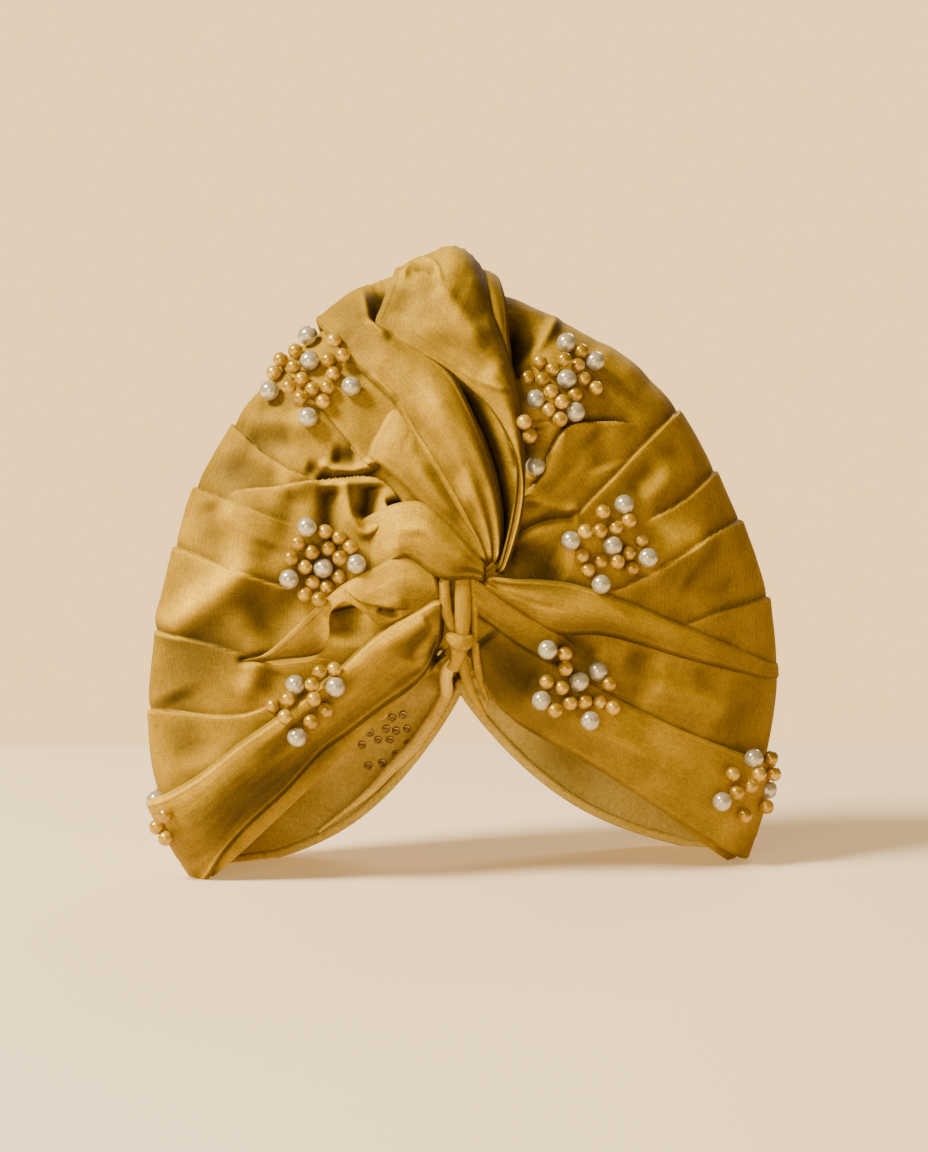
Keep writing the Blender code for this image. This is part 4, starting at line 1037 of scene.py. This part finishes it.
ties = {
    "tieLeft": ((446, 566, 1.6, 1.0, 1.0), (443, 584, 2.6, 1.6, 1.6), (443, 602, 2.9, 1.8, 2.4),
                (447, 618, 2.4, 1.6, 3.0), (454, 634, 1.5, 1.3, 3.4)),
    "tieMiddle": ((459, 566, 2.8, 1.5, 1.4), (461, 586, 3.6, 2.0, 2.0), (461, 610, 3.8, 2.2, 3.0),
                  (460, 628, 3.4, 2.2, 4.0), (459, 642, 2.4, 1.8, 4.0)),
    "tieRight": ((471, 575, 1.6, 1.2, 1.2), (473, 610, 1.8, 1.4, 1.2), (474, 645, 1.8, 1.4, 1.4),
                 (477, 670, 1.8, 1.4, 1.4), (482, 686, 1.4, 1.2, 0.4), (488, 700, 0.8, 0.8, -1.6)),
    "tieKnotTurn": ((446, 634, 1.8, 1.6, 4.0), (450, 638, 3.0, 2.6, 5.2), (456, 642, 3.8, 3.3, 5.8),
                    (463, 641, 3.4, 2.8, 5.4), (469, 636, 1.8, 1.6, 4.4)),
    "tieLower": ((460, 650, 2.2, 1.8, 3.0), (462, 664, 2.4, 1.8, 2.0), (466, 680, 2.4, 1.8, 1.4),
                 (473, 696, 2.0, 1.6, 0.6), (484, 714, 1.2, 1.0, -1.4)),
    "tieKnotUnder": ((457, 640, 3.4, 2.6, 4.2), (456, 650, 3.6, 3.0, 4.4), (455, 658, 3.0, 2.6, 3.6),
                     (451, 668, 2.8, 2.2, 1.6)),
}
tiePieces = []
for name, rows in ties.items():
    centres, width, depth, normals = frontPath(rows, steps["tie"])
    tiePieces.append(tube(name, centres, width, depth, normals))


# Half width and half depth where a hem is drawn thin, and how much it gains in between, in millimetres
backHemForm = {"width": (0.8, 1.5), "depth": (0.8, 0.9), "inset": 0.9, "floor": 1.4, "taper": 30}


def makeBackHem():
    # the rolled hem along the back's edge, over the nape's arch
    down = np.linspace(1.02, 2.0 - crown["closed"], steps["backEdge"])
    across = np.linspace(rim["angle"][-1], rim["angle"][0], steps["backArch"] + 2)[1:-1]
    left, normalLeft = shell(rim["angle"][-1], down)
    arch, normalArch = shell(across, down[-1])
    right, normalRight = shell(rim["angle"][0], down[::-1])
    path = np.concatenate([left, arch, right])
    normals = np.concatenate([normalLeft, normalArch, normalRight])
    centres = path - normals * backHemForm["inset"]
    for _ in range(3):
        centres[1:-1] = (centres[:-2] + centres[1:-1] * 2 + centres[2:]) / 4.0
    centres[:, 2] = np.maximum(centres[:, 2], backHemForm["floor"])
    place, last = np.arange(len(centres)), len(centres) - 1
    ends = ramp(place, 0, backHemForm["taper"]) * ramp(place, last, last - backHemForm["taper"])
    (thin, wider), (flat, deeper) = backHemForm["width"], backHemForm["depth"]
    return tube("backHem", centres, thin + wider * ends, flat + deeper * ends, normals, 16, paintedLightMaterial)


backHem = makeBackHem()


def searchTree(pieces):
    verts, faces = [], []
    for piece in pieces:
        base = len(verts)
        verts += [v.co for v in piece.data.vertices]
        faces += [[base + i for i in face.vertices] for face in piece.data.polygons]
    return BVHTree.FromPolygons(verts, faces)


cameraPlace = Vector(hatToWorld(np.array(view["camera"])).tolist())
innerTree = searchTree([crownInside])


def sight(seenX, seenZ):
    # a place on the upright plane, and the way to it from the camera
    target = Vector(hatToWorld(np.array([float(seenX), view["plane"], float(seenZ)])).tolist())
    return target, (target - cameraPlace).normalized()


def insideHit(u, v):
    # where the crown's inner face shows in the photo, with its normal towards the camera
    hit, normal, _, _ = innerTree.ray_cast(cameraPlace, sight(*fromPhoto(u, v))[1])
    return hit, -normal if normal.dot(cameraPlace - hit) < 0 else normal


# start and path are photo pixels; lift is its height over the inner face at the path's end and before it
hemRollForm = {
    "start": (454.0, 662.0),
    "path": ((444, 692), (437, 711), (427, 728), (415, 744), (402, 758), (386, 774), (368, 793), (344, 812),
             (318, 832)),
    "lift": ((318, 368), (1.0, 2.8)),
    "bow": (-1.5, 0.0, 3.0),
    "bridge": (0.0, 0.3, 0.65),
    "width": (0.9, 2.2),
    "depth": (0.9, 1.6),
    "taper": 60.0,
    # painted light on the rolled hem
    "bright": 1.2,
}


def makeHemRoll():
    # the rolled edge that leaves the tie's knot, crosses to the back and runs down inside its left hem
    back = []
    for u, v in hemRollForm["path"]:
        hit, normal = insideHit(u, v)
        back.append(worldToHat(hit) + np.array(normal) * float(np.interp(u, *hemRollForm["lift"])))
    start = shell(*fanPlace(*underPhoto(*hemRollForm["start"])))[0] + np.array([0.0, 1.0, 0.0])
    bow = np.array(hemRollForm["bow"])
    bridge = [start + (back[0] - start) * share + bow * math.sin(math.pi * share)
              for share in hemRollForm["bridge"]]
    path = np.array(bridge + back)
    keys = lengthAlong(path)
    at = np.linspace(0.0, keys[-1], steps["hemRoll"])
    centres = np.stack([smoothValue(keys, column, at) for column in path.T], 1)
    ends = ramp(at, -6.0, 4.0) * ramp(at, keys[-1], keys[-1] - hemRollForm["taper"])
    (thin, wider), (flat, deeper) = hemRollForm["width"], hemRollForm["depth"]
    normals = np.tile([0.0, -1.0, 0.0], (len(at), 1))
    return tube("hemRoll", centres, thin + wider * ends, flat + deeper * ends, normals,
                material=paintedLightMaterial, bright=hemRollForm["bright"])


hemRoll = makeHemRoll()
print("tie and back hem made")

clothPieces = [*crownOutside, crownInside, *stripPieces, *tiePieces, backHem, hemRoll]
clothTree = searchTree(clothPieces)
# Pearls and beads: radii, the way back from which each slides and the gap at which it rests, in metres.
# seat, touch and room are the shares of a radius at which a bead sits on cloth and beside its neighbours
beads = {"pearlRadius": 0.0045, "goldRadius": 0.00345, "pearlBack": 0.02, "goldBack": 0.05, "rest": 0.00003,
         "seat": 0.92, "touch": 0.97, "room": 0.96, "pearlMesh": (32, 18), "goldMesh": (24, 14)}
# Gold beads and studs, photo pixels
goldPlaces = {
    "topLeft": ((327, 347), (296, 352), (311, 355), (325, 357), (340, 360), (285, 365), (298, 365),
        (332, 369), (346, 374), (277, 370), (301, 378), (290, 386), (313, 387), (327, 383), (301, 398),
        (323, 398)),
    "topRight": ((543, 363), (557, 367), (573, 366), (564, 355), (578, 360), (581, 380), (531, 378),
        (547, 378), (547, 393), (592, 388), (574, 395), (561, 401), (587, 402), (543, 405), (555, 413)),
    "drapeSide": ((528, 432), (525, 424)),
    "midLeft": ((325, 532), (340, 538), (298, 543), (350, 547), (328, 548), (312, 552), (291, 558),
        (340, 558), (305, 567), (339, 577), (312, 583), (327, 587), (305, 594), (319, 600)),
    "midRight": ((603, 512), (628, 520), (617, 527), (600, 531), (584, 533), (627, 538), (640, 540),
        (591, 545), (582, 555), (629, 553), (601, 561), (617, 562), (588, 570), (632, 568), (618, 575)),
    "lowLeft": ((327, 672), (320, 675), (313, 683), (313, 697), (290, 700), (273, 706), (300, 705),
        (326, 710), (285, 717), (311, 722)),
    "lowRight": ((550, 661), (565, 655), (565, 668), (592, 677), (547, 682), (562, 688), (605, 683),
        (596, 690), (570, 703), (587, 700), (606, 702), (553, 709), (567, 718)),
    "tipRight": ((771, 758), (733, 774), (761, 776), (772, 776), (752, 786), (737, 793), (757, 802),
        (765, 806), (748, 818), (755, 824)),
    "tipLeft": ((158, 825), (165, 838), (163, 815)),
}
studPlaces = ((380, 715), (370, 722), (392, 718), (403, 715), (386, 729), (396, 731), (407, 729), (370, 733),
              (378, 740), (390, 740), (362, 745), (408, 743), (396, 754), (368, 766), (382, 763))


def spreadBeads(places, pearls):
    # gold beads pushed sideways until each has room on the cloth beside its neighbours
    spots = np.stack(fromPhoto(*np.array(places, float).T), 1)
    pearls = seenFrom(worldToHat(pearls))
    gold, pearl = 1000.0 * beads["goldRadius"], 1000.0 * beads["pearlRadius"]
    room = np.concatenate([np.full(len(spots) - 1, 2.0 * gold), np.full(len(pearls), gold + pearl)])
    room = room * beads["room"]
    for _ in range(steps["spread"]):
        for i in range(len(spots)):
            off = spots[i] - np.concatenate([np.delete(spots, i, 0), pearls])
            far = np.maximum(np.hypot(*off.T), 0.01)
            push = np.clip(room - far, 0.0, None)[:, None] * off / far[:, None]
            spots[i] += 0.5 * push.sum(0)
    return spots


placed = []     # centre and radius of each bead in its place


def slideBead(centre, way, radius, moves):
    # moves a bead away from the camera until it rests on the cloth or on its neighbours
    for _ in range(moves):
        gap = clothTree.find_nearest(centre)[3] - radius * beads["seat"]
        for other, otherRadius in placed:
            gap = min(gap, (centre - other).length - (radius + otherRadius) * beads["touch"])
        if gap < beads["rest"]:
            break
        centre = centre + way * gap
    return centre


def ballMesh(name, centres, radius, fineness, material):
    segments, rings = fineness
    turn = np.linspace(0.0, 2.0 * math.pi, segments, endpoint=False)
    rise = np.linspace(0.0, math.pi, rings + 1)[1:-1]
    ball = [(0.0, 0.0, 1.0)]
    ball += [(math.sin(r) * math.cos(a), math.sin(r) * math.sin(a), math.cos(r)) for r in rise for a in turn]
    ball.append((0.0, 0.0, -1.0))
    faces = [[0, 1 + j, 1 + (j + 1) % segments] for j in range(segments)]
    for i in range(len(rise) - 1):
        base = 1 + i * segments
        for j in range(segments):
            k = (j + 1) % segments
            faces.append([base + j, base + segments + j, base + segments + k, base + k])
    base = 1 + (len(rise) - 1) * segments
    faces += [[base + (j + 1) % segments, base + j, len(ball) - 1] for j in range(segments)]
    ball = np.array(ball) * radius
    verts, polys = [], []
    for n, centre in enumerate(centres):
        verts.append(ball + np.array(centre))
        polys += [[v + n * len(ball) for v in face] for face in faces]
    return meshPiece(name, np.concatenate(verts).tolist(), polys, material)


pearlNodes = sorted(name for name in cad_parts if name.startswith("pearl"))
clusters = {}
for name in pearlNodes:
    clusters.setdefault(name.rsplit("_", 1)[0], []).append(name)
clusterWords = {"topLeft": "pearl_top_left", "topRight": "pearl_top_right", "drapeSide": "pearl_drape_side",
                "midLeft": "pearl_mid_left", "midRight": "pearl_mid_right", "lowLeft": "pearl_low_left",
                "lowRight": "pearl_low_right", "tipRight": "pearl_tip_right", "tipLeft": "pearl_tip_left",
                "back": "pearl_back"}
# The photo's pearls sit this much higher than the part's, in metres
pearlRise = {"midLeft": 0.0028, "lowLeft": 0.0034}
pearlSpots, beadPieces = {}, []
for word, prefix in clusterWords.items():
    centres = []
    for node in clusters[prefix]:
        low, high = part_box(node)
        centre = (Vector(low) + Vector(high)) / 2.0
        if word != "back":
            centre.z += pearlRise.get(word, 0.0)
            way = (centre - cameraPlace).normalized()
            centre = slideBead(centre - way * beads["pearlBack"], way, beads["pearlRadius"],
                               steps["pearl"])
        centres.append(centre)
        placed.append((centre, beads["pearlRadius"]))
    pearlSpots[word] = centres
    piece = ballMesh(word + "Pearls", centres, beads["pearlRadius"], beads["pearlMesh"], pearlMaterial)
    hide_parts(*clusters[prefix])
    beadPieces.append(piece)
for word, places in goldPlaces.items():
    centres = []
    for seenX, seenZ in spreadBeads(places, pearlSpots[word]):
        target, way = sight(seenX, seenZ)
        centre = slideBead(target - way * beads["goldBack"], way, beads["goldRadius"], steps["gold"])
        # a bead that passed the cloth by is left out
        if clothTree.find_nearest(centre)[3] < 2.0 * beads["goldRadius"]:
            centres.append(centre)
            placed.append((centre, beads["goldRadius"]))
    print("gold beads", word, len(centres), "of", len(places))
    piece = ballMesh(word + "Beads", centres, beads["goldRadius"], beads["goldMesh"], goldMaterial)
    beadPieces.append(piece)

# A stud's half profile: radius and height, in millimetres
studProfile = ((0.0, 0.95), (0.45, 0.85), (0.75, 0.5), (0.95, 0.35), (1.3, 0.75), (1.65, 0.75), (1.95, 0.4),
               (2.05, 0.0))


def makeStuds(sides=14):
    # pressed cups inside the back, and the beads that they hold outside it
    rings = studProfile[1:]
    verts, faces, outside = [], [], []
    for u, v in studPlaces:
        hit, normal = insideHit(u, v)
        across = normal.orthogonal().normalized()
        other = normal.cross(across)
        base = len(verts)
        for radius, height in rings:
            for j in range(sides):
                turn = 2.0 * math.pi * j / sides
                verts.append(hit + (across * math.cos(turn) + other * math.sin(turn)) * radius * 0.001
                             + normal * height * 0.001)
        verts.append(hit + normal * studProfile[0][1] * 0.001)
        faces += [[base + len(rings) * sides, base + j, base + (j + 1) % sides] for j in range(sides)]
        faces += [[base + i, base + i + sides, base + (i - i % sides) + sides + (i + 1) % sides,
                   base + (i - i % sides) + (i + 1) % sides] for i in range((len(rings) - 1) * sides)]
        outside.append(hit - normal * (crown["wall"] * 0.001 + beads["goldRadius"] * 0.95))
    piece = meshPiece("backStuds", [tuple(v) for v in verts], faces, studMaterial)
    centres = []
    for centre in outside:
        if all((centre - other).length > (radius + beads["goldRadius"]) * 0.9 for other, radius in placed):
            centres.append(centre)
            placed.append((centre, beads["goldRadius"]))
    outer = ballMesh("backBeads", centres, beads["goldRadius"], beads["goldMesh"], goldMaterial)
    return [piece, outer]


beadPieces += makeStuds()
print("pearls and beads made", len(placed))

clothNodes = {
    "crownFront": ["crown"], "underDrape": ["under_drape"], "middleDrape": ["middle_drape"],
    "topDrape": ["top_drape"], "knotWrap": ["knot_wrap"], "lowerWrap": ["lower_wrap"],
    "bandLeft": ["band_left"], "bandRight": ["band_right"], "wrapRight": ["wrap_right"],
    "tieLeft": ["tie_strand_left"], "tieMiddle": ["tie_strand_middle"], "tieRight": ["tie_strand_right"],
    "tieKnotTurn": ["tie_knot"],
}
for piece in clothPieces:
    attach(piece, "root")
    if piece.name in clothNodes:
        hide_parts(*clothNodes[piece.name])
for piece in beadPieces:
    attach(piece, "root")

# The stage: a pale floor that falls away behind the hat, in a plain pale room
stage = {"edge": 395.0, "bend": 60.0, "fall": 0.2, "reach": 2600.0,
         "colour": "#F2E0C4", "glow": 0.5, "glowColour": "#F0BE74"}


def makeStage():
    reach, bend, fall = stage["reach"], stage["bend"], stage["fall"]
    start = stage["edge"] - bend
    profile = [(-reach, 0.0), (start, 0.0)]
    profile += [(start + s, -fall * s * s / (2.0 * bend)) for s in np.linspace(0.0, bend, 13)[1:]]
    profile.append((reach, -fall * bend / 2.0 - fall * (reach - stage["edge"])))
    verts = [(x * 0.001, y * 0.001, z * 0.001) for y, z in profile for x in (-reach, reach)]
    faces = [[2 * i, 2 * i + 1, 2 * i + 3, 2 * i + 2] for i in range(len(profile) - 1)]
    plaster = {"Base Color": stage["colour"], "Roughness": 0.9, "Emission Color": stage["glowColour"],
               "Emission Strength": stage["glow"]}
    meshPiece("paleFloor", verts, faces, newMaterial("paintedPlaster", plaster)[0])


makeStage()


def addLamp(name, place, target, size, power, colour):
    lamp = bpy.data.lights.new(name, "AREA")
    lamp.shape = "DISK"
    lamp.size = size
    lamp.energy = power
    lamp.color = linearColour(colour)[:3]
    holder = addToScene(name, lamp)
    holder.location = place
    holder.rotation_euler = (Vector(target) - Vector(place)).to_track_quat("-Z", "Y").to_euler()


# name, place, where it points, size in metres, power in watts and colour
addLamp("keyLight", (-1.4, -0.62, 1.8), (0.0, 0.0, 0.12), 0.65, 140.0, "#FFEDD0")
addLamp("fillLight", (-0.6, -2.1, 0.6), (0.0, 0.0, 0.08), 0.9, 16.0, "#FFEFD6")
addLamp("backLight", (0.7, 1.9, 1.3), (0.0, 0.0, 0.12), 0.9, 22.0, "#FFEFD6")

# The room round the hat: seen as a pale wall, dimmer in the cloth's light
room = {"colour": "#FFD08A", "seen": 2.3, "gloss": 0.4, "light": 0.1}


def makeRoom():
    world = bpy.data.worlds.new("paleRoom")
    world.use_nodes = True
    tree = world.node_tree
    ray = addNode(tree, "ShaderNodeLightPath").outputs
    light = room["light"]
    seen = mathNode(tree, "MULTIPLY_ADD", ray["Is Camera Ray"], room["seen"] - light, light)
    gloss = mathNode(tree, "MULTIPLY_ADD", ray["Is Glossy Ray"], room["gloss"] - light, seen)
    sky = tree.nodes["Background"]
    sky.inputs["Color"].default_value = linearColour(room["colour"])
    tree.links.new(gloss, sky.inputs["Strength"])
    bpy.context.scene.world = world


makeRoom()

camera = bpy.data.cameras.new("camera")
camera.sensor_width = 36.0
camera.sensor_fit = "VERTICAL"
camera.sensor_height = 36.0
camera.lens = view["lens"]
cameraHolder = addToScene("camera", camera)
cameraHolder.location = cameraPlace
cameraHolder.rotation_euler = (math.radians(90.0 - view["pitch"]), 0.0, 0.0)
bpy.context.scene.camera = cameraHolder
